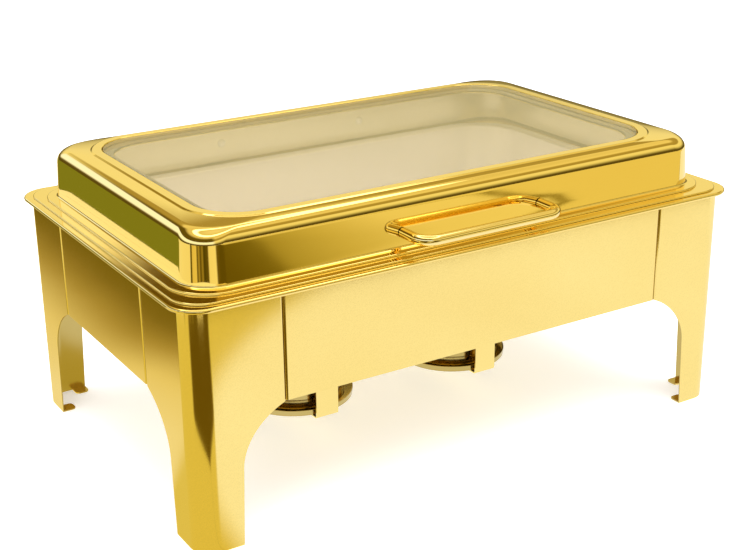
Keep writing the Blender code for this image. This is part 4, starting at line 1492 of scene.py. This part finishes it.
    def fastener(self, shop: Shop, side: str, sign: int) -> None:
        """One handle screw and its washer.

        Args:
            shop: The shop that dresses the pieces.
            side: The end of the handle.
            sign: -1 for the left end, 1 for the right one.
        """
        inner = CENTRE_Y - self.wall_at(self.handle_height + 0.0055) + self.sheet + CLEARANCE
        wall = CENTRE_Y - self.wall_at(self.handle_height - self.handle_radius) - CLEARANCE
        x, z = sign * self.handle_half, self.handle_height
        profile = [
            (self.screw_hole, 0.0008, 0.0),
            (0.0055, 0.0008, 0.0002),
            (0.0055, 0.0, 0.0002),
            (self.screw_hole, 0.0, 0.0),
        ]
        name = f"handle_washer_ring_{side}"
        washer = Bench.turned(name, profile, (x, inner, z), FACING_REAR, loop=True, steps=40)
        shop.fit(washer, f"handle_washer_{side}", GLINT_STEEL)
        head = inner + 0.0011
        length = head - wall + 0.009
        profile = [
            (0.0005, 0.0022, 0.0),
            (0.0020, 0.00205, 0.0),
            (0.0034, 0.0014, 0.0),
            (0.0040, 0.0004, 0.0002),
            (0.0040, 0.0, 0.0),
            (0.0020, 0.0, 0.0),
            (0.0020, -length, 0.0004),
        ]
        screw = Bench.turned(f"handle_screw_domed_{side}", profile, (x, head, z), FACING_REAR, steps=40)
        for wide, tall in ((0.0021, 0.0004), (0.0004, 0.0021)):
            low = (x - wide, head + 0.0011, z - tall)
            high = (x + wide, head + 0.0032, z + tall)
            Bench.combine(screw, Bench.box(low, high), "DIFFERENCE")
        shop.fit(screw, f"handle_screw_{side}", GLINT_STEEL)


@dataclass
class Hinges:
    """The two hinges behind the lid.

    The class's own sizes are those that the lid and the water pan are drilled to.
    """

    offset: ClassVar[float] = 0.085
    lid_rivet_height: ClassVar[float] = 0.2480
    rivet_line: ClassVar[float] = 0.18265
    spreads: ClassVar[Flat] = (-0.010, 0.010)
    pan_hole: ClassVar[float] = 0.0016
    lid_hole: ClassVar[float] = 0.0025
    width: float = 0.030
    middle: float = 0.0100
    axis_y: float = 0.1901
    axis_z: float = 0.2320
    leaf: float = 0.0012
    pin: float = 0.0015
    knuckle: float = 0.0033
    leaf_top: float = 0.2545
    leaf_start: float = 0.1795
    plate: float = 0.2260
    rivet_head: float = 0.0045
    cutter_room: float = 0.004

    def build(self, shop: Shop, lid: Lid) -> None:
        """Builds and fits both hinges.

        Args:
            shop: The shop that dresses the pieces.
            lid: The lid that they hold.
        """
        for side, sign in SIDES:
            x = sign * self.offset
            self.pan_leaf(shop, side, x)
            self.lid_leaf(shop, side, x, lid)
            self.pin_piece(shop, side, x)

    def across(self, x: float) -> Matrix:
        """The upright plane of a leaf's outline at a place along X, seen from the right."""
        turn = Matrix.Rotation(math.radians(90), 4, "Z") @ Matrix.Rotation(math.radians(90), 4, "X")
        return Matrix.Translation((x, CENTRE_Y, 0.0)) @ turn

    def bore(self) -> list[Flat]:
        """The hole for the pin."""
        return Bench.arc((self.axis_y, self.axis_z), self.pin + CLEARANCE, 0, 360, 32)[:-1]

    def pan_leaf(self, shop: Shop, side: str, x: float) -> None:
        """The lower leaf and its two rivets.

        Args:
            shop: The shop that dresses the pieces.
            side: The hinge's side.
            x: Its middle along X.
        """
        low, high = self.plate, self.plate + self.leaf
        start = self.leaf_start
        near, far = self.axis_y - self.knuckle, self.axis_y + self.knuckle
        outline = [(start, low), (far, low)]
        outline += Bench.arc((self.axis_y, self.axis_z), self.knuckle, 0, 180, 24)
        outline += [(near, high), (start, high)]
        leaf = Bench.cut_out([outline, self.bore()], self.width, self.across(x))
        half = self.middle / 2 + 0.0004
        room = self.cutter_room
        low_corner = (x - half, CENTRE_Y + near - room, self.axis_z - self.knuckle - 0.0006)
        high_corner = (x + half, CENTRE_Y + far + room, self.axis_z + self.knuckle + 0.003)
        Bench.combine(leaf, Bench.box(low_corner, high_corner), "DIFFERENCE")
        head = [(0.0004, 0.0010), (0.0013, 0.0009), (0.0020, 0.0005), (0.0024, 0.0)]
        profile = [(radius, height, 0.0) for radius, height in head]
        profile += [(0.0013, 0.0, 0.0), (0.0013, -0.0029, 0.0002)]
        for spread in self.spreads:
            place = (x + spread, CENTRE_Y + self.rivet_line, high)
            Bench.drill(leaf, place, self.pan_hole, 0.006, UPRIGHT)
            end = "inner" if spread * x < 0 else "outer"
            place = (place[0], place[1], high + CLEARANCE)
            rivet = Bench.turned(f"pan_leaf_stud_{side}_{end}", profile, place, steps=32)
            shop.fit(rivet, f"pan_leaf_rivet_{side}_{end}", MIRROR_GOLD)
        Bench.break_edges(leaf)
        shop.fit(Bench.polish(leaf, f"lower_hinge_leaf_{side}"), f"hinge_pan_leaf_{side}", MIRROR_GOLD)

    def lid_leaf(self, shop: Shop, side: str, x: float, lid: Lid) -> None:
        """The upper leaf and its rivet through the lid's rear wall.

        Args:
            shop: The shop that dresses the pieces.
            side: The hinge's side.
            x: Its middle along X.
            lid: The lid that it holds.
        """
        low, high = self.axis_z - self.leaf / 2, self.axis_z + self.leaf / 2
        wall_low = lid.wall_at(low) + CLEARANCE
        wall_top = lid.wall_at(self.leaf_top) + CLEARANCE
        rise = math.degrees(math.asin(self.leaf / 2 / self.knuckle))
        near = self.axis_y - self.knuckle * math.cos(math.radians(rise))
        outline = [(wall_top, self.leaf_top), (wall_low, low), (near, low)]
        round_pin = Bench.arc((self.axis_y, self.axis_z), self.knuckle, 180 + rise, 360 - 2 * rise, 32)
        outline += round_pin[1:-1]
        outline += [(near, high), (wall_low + self.leaf, high), (wall_top + self.leaf, self.leaf_top)]
        leaf = Bench.cut_out([outline, self.bore()], self.width, self.across(x))
        for end in (-1, 1):
            near_x, far_x = x + end * self.middle / 2, x + end * (self.width / 2 + 0.002)
            low_corner = (min(near_x, far_x), CENTRE_Y + self.rivet_line - 0.009, self.axis_z - 0.01)
            high_corner = (max(near_x, far_x), CENTRE_Y + self.axis_y + 0.012, self.axis_z + 0.01)
            Bench.combine(leaf, Bench.box(low_corner, high_corner), "DIFFERENCE")
        hole = (x, CENTRE_Y + lid.wall_y, self.lid_rivet_height)
        Bench.drill(leaf, hole, self.lid_hole, 0.010, FACING_FRONT)
        Bench.break_edges(leaf)
        shop.fit(Bench.polish(leaf, f"upper_hinge_leaf_{side}"), f"hinge_lid_leaf_{side}", MIRROR_GOLD)
        outside = lid.wall_at(self.lid_rivet_height - self.rivet_head) + self.leaf + 0.0006
        inside = lid.wall_at(self.lid_rivet_height + self.rivet_head) - lid.sheet - CLEARANCE
        length = outside - inside
        head = [(0.0004, 0.0016), (0.0022, 0.00145), (0.0038, 0.0009), (self.rivet_head, 0.0)]
        profile = [(radius, height, 0.0) for radius, height in head]
        profile += [(0.0022, 0.0, 0.0), (0.0022, -length, 0.0)]
        profile += [(radius, -length - height, 0.0) for radius, height in reversed(head)]
        place = (x, CENTRE_Y + outside, self.lid_rivet_height)
        rivet = Bench.turned(f"lid_leaf_stud_{side}", profile, place, FACING_REAR, steps=40)
        # The rivet's head inside the lid shows the painted glint of this near-white steel.
        shop.fit(rivet, f"hinge_lid_rivet_{side}", GLINT_STEEL)

    def pin_piece(self, shop: Shop, side: str, x: float) -> None:
        """The pin and its two heads.

        Args:
            shop: The shop that dresses the pieces.
            side: The hinge's side.
            x: Its middle along X.
        """
        half = self.width / 2 + CLEARANCE
        head = self.pin + 0.0011
        top = [(0.0008, 0.0012), (0.0020, 0.0010), (head, 0.0005), (head, 0.0)]
        profile = [(radius, half + height, 0.0) for radius, height in top]
        profile += [(self.pin, half, 0.0), (self.pin, -half, 0.0)]
        profile += [(radius, -half - height, 0.0) for radius, height in reversed(top)]
        place = (x, CENTRE_Y + self.axis_y, self.axis_z)
        pin = Bench.turned(f"hinge_pin_round_{side}", profile, place, FACING_RIGHT, steps=32)
        shop.fit(pin, f"hinge_pin_{side}", GLINT_STEEL)


@dataclass
class Burners:
    """The two fuel cups on their trays and hanging straps.

    The heights named base, low and top are from the table; tray_edge, cup_height and cap_skirt are
    the pieces' own. hub is the radius of the flat face that closes a turned floor.
    """

    offset: float = 0.0945
    strap_width: float = 0.0243
    strap_sheet: float = 0.0015
    arm: float = 0.0625
    strap_low: float = 0.0265
    run_low: float = 0.1282
    strap_tab: float = 0.018
    wall: float = 0.1867
    bend: float = 0.0030
    hub: float = 0.002
    tray_base: float = 0.0283
    tray_sheet: float = 0.0010
    tray_radius: float = 0.0570
    tray_edge: float = 0.0060
    dish_radius: float = 0.0475
    cup_base: float = 0.0296
    cup_radius: float = 0.0460
    cup_height: float = 0.0500
    cup_sheet: float = 0.0009
    cap_top: float = 0.0807
    cap_sheet: float = 0.0008
    cap_skirt: float = 0.0070
    opening: float = 0.0240
    pivot: float = 0.0360
    pivot_hole: float = 0.0019
    damper_low: float = 0.0810
    damper_sheet: float = 0.0010
    damper_radius: float = 0.0270

    def build(self, shop: Shop) -> None:
        """Builds and fits both burners.

        Args:
            shop: The shop that dresses the pieces.
        """
        for side, sign in SIDES:
            x = sign * self.offset
            shop.fit(self.strap(side, x), f"burner_strap_{side}", SHEET_GOLD)
            # The tray, cup, cap, damper and rivet stand under the dish and take the darker gold as
            # painted shade.
            shop.fit(self.tray(side, x), f"burner_tray_{side}", PAINTED_SHADE_GOLD)
            shop.fit(self.cup(side, x), f"fuel_cup_{side}", PAINTED_SHADE_GOLD)
            shop.fit(self.cap(side, x), f"cup_cap_{side}", PAINTED_SHADE_GOLD)
            shop.fit(self.damper(side, x), f"flame_damper_{side}", PAINTED_SHADE_GOLD)
            shop.fit(self.rivet(side, x), f"damper_rivet_{side}", PAINTED_SHADE_GOLD)

    def strap(self, side: str, x: float) -> bpy.types.Object:
        """The strap folded down from the panels and under the tray.

        Args:
            side: The burner's side.
            x: Its middle along X.

        Returns:
            The strap.
        """
        path = [
            (-self.wall, self.run_low + self.strap_tab),
            (-self.wall, self.run_low),
            (-self.arm, self.run_low),
            (-self.arm, self.strap_low),
            (self.arm, self.strap_low),
            (self.arm, self.run_low),
            (self.wall, self.run_low),
            (self.wall, self.run_low + self.strap_tab),
        ]
        half = self.strap_width / 2
        strap = Bench.folded(path, (self.bend,) * 6, -half, half, self.strap_sheet, steps=6)
        strap.matrix_world = Matrix(((0, 0, 1, x), (1, 0, 0, CENTRE_Y), (0, 1, 0, 0), (0, 0, 0, 1)))
        return Bench.polish(Bench.settle(strap), f"hanging_strap_{side}")

    def tray(self, side: str, x: float) -> bpy.types.Object:
        """The dish that the cup stands in.

        Args:
            side: The burner's side.
            x: Its middle along X.

        Returns:
            The tray.
        """
        profile = [
            (self.hub, self.tray_sheet, 0.0),
            (self.dish_radius, self.tray_sheet, 0.0004),
            (self.dish_radius + 0.0012, 0.0022, 0.0004),
            (self.tray_radius - self.tray_sheet, 0.0022, 0.0006),
            (self.tray_radius - self.tray_sheet, self.tray_edge, 0.0),
            (self.tray_radius, self.tray_edge, 0.0003),
            (self.tray_radius, 0.0, 0.0012),
            (self.hub, 0.0, 0.0),
        ]
        return Bench.turned(f"round_tray_{side}", profile, (x, CENTRE_Y, self.tray_base))

    def cup(self, side: str, x: float) -> bpy.types.Object:
        """The open fuel cup with a pressed ring round its wall.

        Args:
            side: The burner's side.
            x: Its middle along X.

        Returns:
            The cup.
        """
        inner = self.cup_radius - self.cup_sheet
        profile = [
            (self.hub, self.cup_sheet, 0.0),
            (inner, self.cup_sheet, 0.0025),
            (inner, self.cup_height, 0.0),
            (self.cup_radius, self.cup_height, 0.0002),
            (self.cup_radius, 0.0112, 0.0),
            (self.cup_radius - 0.0004, 0.0106, 0.0),
            (self.cup_radius - 0.0004, 0.0096, 0.0),
            (self.cup_radius, 0.0090, 0.0),
            (self.cup_radius, 0.0, 0.0028),
            (self.hub, 0.0, 0.0),
        ]
        return Bench.turned(f"open_fuel_cup_{side}", profile, (x, CENTRE_Y, self.cup_base))

    def cap(self, side: str, x: float) -> bpy.types.Object:
        """The cap with its flame opening.

        Args:
            side: The burner's side.
            x: Its middle along X.

        Returns:
            The cap.
        """
        inner = self.cup_radius + CLEARANCE
        outer = inner + self.cap_sheet
        profile = [
            (self.opening, 0.0, 0.0002),
            (outer, 0.0, 0.0010),
            (outer, -self.cap_skirt, 0.0002),
            (inner, -self.cap_skirt, 0.0),
            (inner, -self.cap_sheet, 0.0),
            (self.opening, -self.cap_sheet, 0.0),
        ]
        cap = Bench.turned(f"flame_cap_{side}", profile, (x, CENTRE_Y, self.cap_top), loop=True)
        Bench.drill(cap, (x, CENTRE_Y + self.pivot, self.cap_top), self.pivot_hole, 0.006, UPRIGHT)
        return cap

    def damper(self, side: str, x: float) -> bpy.types.Object:
        """The swing cover with its pushing tab.

        Args:
            side: The burner's side.
            x: Its middle along X.

        Returns:
            The cover.
        """
        lug, tab_half, tab_length, tip_radius = 0.0060, 0.0045, 0.018, 0.003
        spread = math.degrees(math.asin(lug / self.damper_radius))
        side_spread = math.degrees(math.asin(tab_half / self.damper_radius))
        centre = -self.pivot
        tip = centre - self.damper_radius - tab_length
        sweep = 180 - spread - side_spread
        outline = Bench.arc((0.0, 0.0), lug, 0, 180, 20)
        outline += Bench.arc((0.0, centre), self.damper_radius, 90 + spread, sweep, 36)
        outline += Bench.arc((tip_radius - tab_half, tip + tip_radius), tip_radius, 180, 90, 6)
        outline += Bench.arc((tab_half - tip_radius, tip + tip_radius), tip_radius, 270, 90, 6)
        outline += Bench.arc((0.0, centre), self.damper_radius, 270 + side_spread, sweep, 36)
        hole = Bench.arc((0.0, 0.0), self.pivot_hole, 0, 360, 32)[:-1]
        height = self.damper_low + self.damper_sheet / 2
        place = Matrix.Translation((x, CENTRE_Y + self.pivot, height))
        damper = Bench.cut_out([outline, hole], self.damper_sheet, place)
        Bench.break_edges(damper)
        return Bench.polish(damper, f"swing_damper_{side}")

    def rivet(self, side: str, x: float) -> bpy.types.Object:
        """The rivet that the damper swings on.

        Args:
            side: The burner's side.
            x: Its middle along X.

        Returns:
            The rivet.
        """
        low, high = self.cap_top - 0.0011, self.damper_low + 0.0013
        rise = high - low
        profile = [
            (0.0006, rise + 0.0012, 0.0),
            (0.0024, rise + 0.0009, 0.0),
            (0.0038, rise, 0.0),
            (0.0016, rise, 0.0),
            (0.0016, 0.0, 0.0),
            (0.0038, 0.0, 0.0),
            (0.0024, -0.0009, 0.0),
            (0.0006, -0.0012, 0.0),
        ]
        return Bench.turned(f"damper_stud_{side}", profile, (x, CENTRE_Y + self.pivot, low), steps=32)


# ------------------------------------------------------------------ studio
@dataclass
class Studio:
    """The floor, the light and what the polished metal mirrors; angles are in degrees."""

    floor_size: float = 16.0
    floor_glow: float = 0.45
    card_size: float = 9.0
    card_height: float = 0.0004
    mirror_radius: float = 5.0
    room_light: float = 1.0
    lens: float = 67.24
    place: Point = (-0.6860, -1.0980, 0.6228)
    heading: float = 31.50
    tilt: float = 20.62
    roll: float = -0.76

    def build(self) -> None:
        """Builds the stage, the lights and the camera."""
        self.floor()
        self.ground_mirror()
        self.dome_mirror()
        self.world()
        self.lamps()
        self.camera()
        bpy.context.scene.view_settings.view_transform = "Standard"

    def floor(self) -> None:
        """The pale floor."""
        Bench.clear()
        bpy.ops.mesh.primitive_plane_add(size=self.floor_size)
        floor = bpy.context.object
        floor.name = "pale_floor"
        graph = Graph("floor_paper")
        tone = graph.mix(graph.noise(graph.place(), 3.0, 3.0), (0.95, 0.95, 0.95), (0.92, 0.92, 0.92))
        sockets = {
            "Base Color": tone,
            "Roughness": 0.9,
            "Emission Color": tone,
            "Emission Strength": self.floor_glow,
        }
        floor.data.materials.append(graph.surface("BsdfPrincipled", sockets))

    def mirrored_only(self, card: bpy.types.Object) -> None:
        """Lets only polished surfaces see a card.

        Args:
            card: The card.
        """
        card.visible_camera = False
        card.visible_diffuse = False
        card.visible_shadow = False
        card.visible_transmission = False
        card.visible_volume_scatter = False
        card.data.materials[0].cycles.emission_sampling = "NONE"

    def ground_mirror(self) -> None:
        """The table top as the metal mirrors it: bright close by and dark further off."""
        Bench.clear()
        bpy.ops.mesh.primitive_plane_add(size=self.card_size, location=(0.0, 0.0, self.card_height))
        card = Bench.settle(bpy.context.object)
        card.name = "table_reflection"
        graph = Graph("table_reflection")
        split = graph.node("SeparateXYZ", None, {"Vector": graph.place()})
        x, y = graph.wire(split, "X"), graph.wire(split, "Y")
        tone = self.front_reflection(graph, x, y)
        tone = self.corner_reflection(graph, tone, x, y)
        card.data.materials.append(graph.surface("Emission", {"Color": tone}))
        self.mirrored_only(card)

    def front_reflection(self, graph: Graph, x: Wire, y: Wire) -> Wire:
        """What the front of the dish mirrors: a bright sweep, and a dark room beyond it.

        Args:
            graph: The card's material.
            x: The place along X.
            y: The place along Y.

        Returns:
            The colour.
        """
        sweep = graph.reach(x - 0.33, y + 0.13)
        lit = graph.math("MAXIMUM", graph.span(sweep, 0.570, 0.602, 1.0, 0.0), graph.span(x, 0.05, 0.15))
        cloud = graph.noise(graph.place((1.0, 0.35, 1.0), (0.0, 0.0, 0.5)), 5.0, 2.0)
        bright = graph.mix(cloud, (1.08, 1.10, 1.20), (0.98, 0.96, 0.94))
        near = graph.mix(lit, (0.76, 0.64, 0.18), bright)
        stops = [
            (0.19, (0.120, 0.082, 0.002)),
            (0.26, (0.150, 0.105, 0.004)),
            (0.31, (0.210, 0.155, 0.012)),
            (0.325, (0.420, 0.330, 0.060)),
            (0.40, (0.620, 0.500, 0.140)),
            (0.52, (0.880, 0.740, 0.320)),
            (0.68, (0.920, 0.780, 0.350)),
            (0.705, (0.850, 0.700, 0.260)),
            (0.712, (0.230, 0.170, 0.010)),
            (0.735, (0.260, 0.190, 0.015)),
            (0.745, (0.850, 0.700, 0.260)),
        ]
        # The stops run along X from -0.2 m to 1.2 m.
        far = graph.ramp((x + 0.2) * (1.0 / 1.4), stops)
        edges = graph.mix(graph.span(y, -0.694, -0.687, 1.0, 0.0), near, (0.24, 0.16, 0.02))
        return graph.mix(graph.span(y, -0.713, -0.708, 1.0, 0.0), edges, far)

    def corner_reflection(self, graph: Graph, tone: Wire, x: Wire, y: Wire) -> Wire:
        """What the near corner and the left side mirror.

        Args:
            graph: The card's material.
            tone: The colour in front.
            x: The place along X.
            y: The place along Y.

        Returns:
            The whole card's colour.
        """
        over, back = -0.26 - x, -0.15 - y
        angle = graph.math("ARCTAN2", back, over)
        reach = graph.reach(over, back)
        width = graph.span(reach, 0.17, 0.30)
        off = graph.math("ABSOLUTE", angle - (1.33 - 0.25 * width))
        wedge = graph.span(0.80 * width - off, -0.04, 0.12) * graph.span(reach, 0.56, 0.58, 1.0, 0.0)
        tone = graph.mix(wedge, tone, (0.14, 0.09, 0.005))
        stops = [
            (0.000, (0.97, 0.88, 0.52)),
            (0.345, (0.95, 0.84, 0.46)),
            (0.360, (0.10, 0.08, 0.004)),
            (0.385, (0.12, 0.09, 0.006)),
            (0.400, (0.80, 0.62, 0.18)),
            (0.490, (0.84, 0.66, 0.20)),
            (0.510, (0.10, 0.07, 0.003)),
            (0.550, (0.45, 0.33, 0.06)),
            (0.580, (0.10, 0.07, 0.003)),
            (0.625, (0.36, 0.26, 0.04)),
            (0.655, (0.08, 0.06, 0.003)),
            (0.740, (0.14, 0.10, 0.006)),
            (0.765, (0.95, 0.82, 0.42)),
            (0.900, (0.98, 0.86, 0.46)),
            (0.930, (0.15, 0.10, 0.006)),
        ]
        # The stops run round the corner from -1.0 to 1.7 radians.
        round_corner = graph.ramp((angle + 1.0) * (1.0 / 2.7), stops)
        share = graph.span(reach, 0.56, 0.58) * graph.span(angle, -0.97, -0.93)
        share = share * graph.span(angle, 1.58, 1.66, 1.0, 0.0)
        tone = graph.mix(share, tone, round_corner)
        stops = [
            (0.00, (0.92, 0.84, 0.56)),
            (0.28, (0.84, 0.72, 0.34)),
            (0.50, (0.42, 0.31, 0.07)),
            (0.66, (0.20, 0.14, 0.012)),
            (0.74, (0.24, 0.17, 0.015)),
            (0.76, (0.05, 0.035, 0.002)),
            (0.83, (0.05, 0.035, 0.002)),
            (0.86, (0.15, 0.155, 0.012)),
            (1.00, (0.22, 0.23, 0.022)),
        ]
        patchy = 0.03 * (graph.noise(graph.place(), 6.0, 3.0) - 0.5)
        nearer = 0.10 * graph.span(y, -0.05, 0.35, 1.0, 0.0)
        # The stops run out to the left, over 0.30 m from X = -0.28 m.
        left = graph.ramp(((-0.28 - x) + patchy - nearer) * (1.0 / 0.30), stops)
        share = graph.span(angle, -1.02, -0.94, 1.0, 0.0) * graph.span(x, -0.30, -0.26, 1.0, 0.0)
        return graph.mix(share, tone, left)

    def dome_mirror(self) -> None:
        """The room as the metal mirrors it."""
        Bench.clear()
        bpy.ops.mesh.primitive_uv_sphere_add(segments=64, ring_count=32, radius=self.mirror_radius)
        dome = Bench.settle(bpy.context.object)
        dome.name = "room_reflection"
        graph = Graph("room_reflection")
        unit = 1.0 / self.mirror_radius
        split = graph.node("SeparateXYZ", None, {"Vector": graph.place((unit, unit, unit))})
        height = graph.wire(split, "Z")
        stops = [
            (0.00, (0.10, 0.07, 0.01)),
            (0.11, (0.12, 0.09, 0.02)),
            (0.17, (0.34, 0.29, 0.12)),
            (0.24, (0.68, 0.60, 0.30)),
            (0.30, (0.93, 0.83, 0.44)),
            (0.42, (0.98, 0.88, 0.48)),
            (0.47, (0.42, 0.31, 0.08)),
            (0.60, (0.48, 0.36, 0.10)),
            (0.66, (0.92, 0.78, 0.38)),
            (0.84, (0.80, 0.66, 0.30)),
            (0.86, (2.60, 2.60, 2.40)),
            (0.91, (2.60, 2.60, 2.40)),
            (0.93, (0.80, 0.66, 0.30)),
            (1.00, (0.95, 0.84, 0.50)),
        ]
        tone = graph.ramp(height, stops)
        left = graph.span(graph.wire(split, "X"), -0.32, -0.12, 1.0, 0.0)
        left = left * graph.span(height, 0.12, 0.22)
        side = graph.mix(graph.span(height, 0.39, 0.43), (1.10, 1.20, 1.50), (0.13, 0.09, 0.008))
        tone = graph.mix(left * graph.span(height, 0.66, 0.80, 1.0, 0.0), tone, side)
        dome.data.materials.append(graph.surface("Emission", {"Color": tone}))
        self.mirrored_only(dome)

    def world(self) -> None:
        """Even soft light from all round."""
        world = bpy.data.worlds.new("soft_room")
        bpy.context.scene.world = world
        world.use_nodes = True
        graph = Graph("soft_room", world.node_tree)
        light = {"Color": (1.0, 1.0, 1.0), "Strength": self.room_light}
        background = graph.node("Background", None, light)
        graph.output(graph.wire(background), "OutputWorld")

    def lamps(self) -> None:
        """Two large soft boxes."""
        boxes = (
            ("overhead_box", (0.3, -0.4, 2.6), (0.0, 0.0, 0.0), 2.6, 78.0),
            ("left_box", (-2.2, -1.2, 1.8), (0.0, 0.0, 0.15), 1.6, 14.0),
        )
        for name, place, target, size, power in boxes:
            lamp = bpy.data.lights.new(name, "AREA")
            lamp.size = size
            lamp.energy = power
            light = bpy.data.objects.new(name, lamp)
            bpy.context.scene.collection.objects.link(light)
            light.location = place
            aim = Vector(target) - Vector(place)
            light.rotation_euler = aim.to_track_quat("-Z", "Y").to_euler()
            light.visible_glossy = False

    def camera(self) -> None:
        """The camera, a little above the lid and to its left."""
        lens = bpy.data.cameras.new("view")
        lens.lens = self.lens
        lens.sensor_width = 36.0
        lens.clip_start = 0.01
        camera = bpy.data.objects.new("view", lens)
        bpy.context.scene.collection.objects.link(camera)
        heading = Matrix.Rotation(math.radians(-self.heading), 4, "Z")
        tilt = Matrix.Rotation(math.radians(90 - self.tilt), 4, "X")
        roll = Matrix.Rotation(math.radians(self.roll), 4, "Z")
        camera.matrix_world = Matrix.Translation(self.place) @ heading @ tilt @ roll
        bpy.context.scene.camera = camera


def main() -> None:
    """Builds the dish, then the studio."""
    shop = Shop()
    lid = Lid()
    LegFrame().build(shop)
    Pans().build(shop)
    lid.build(shop)
    Hinges().build(shop, lid)
    Burners().build(shop)
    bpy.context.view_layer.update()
    Studio().build()


if __name__ == "__main__":
    main()
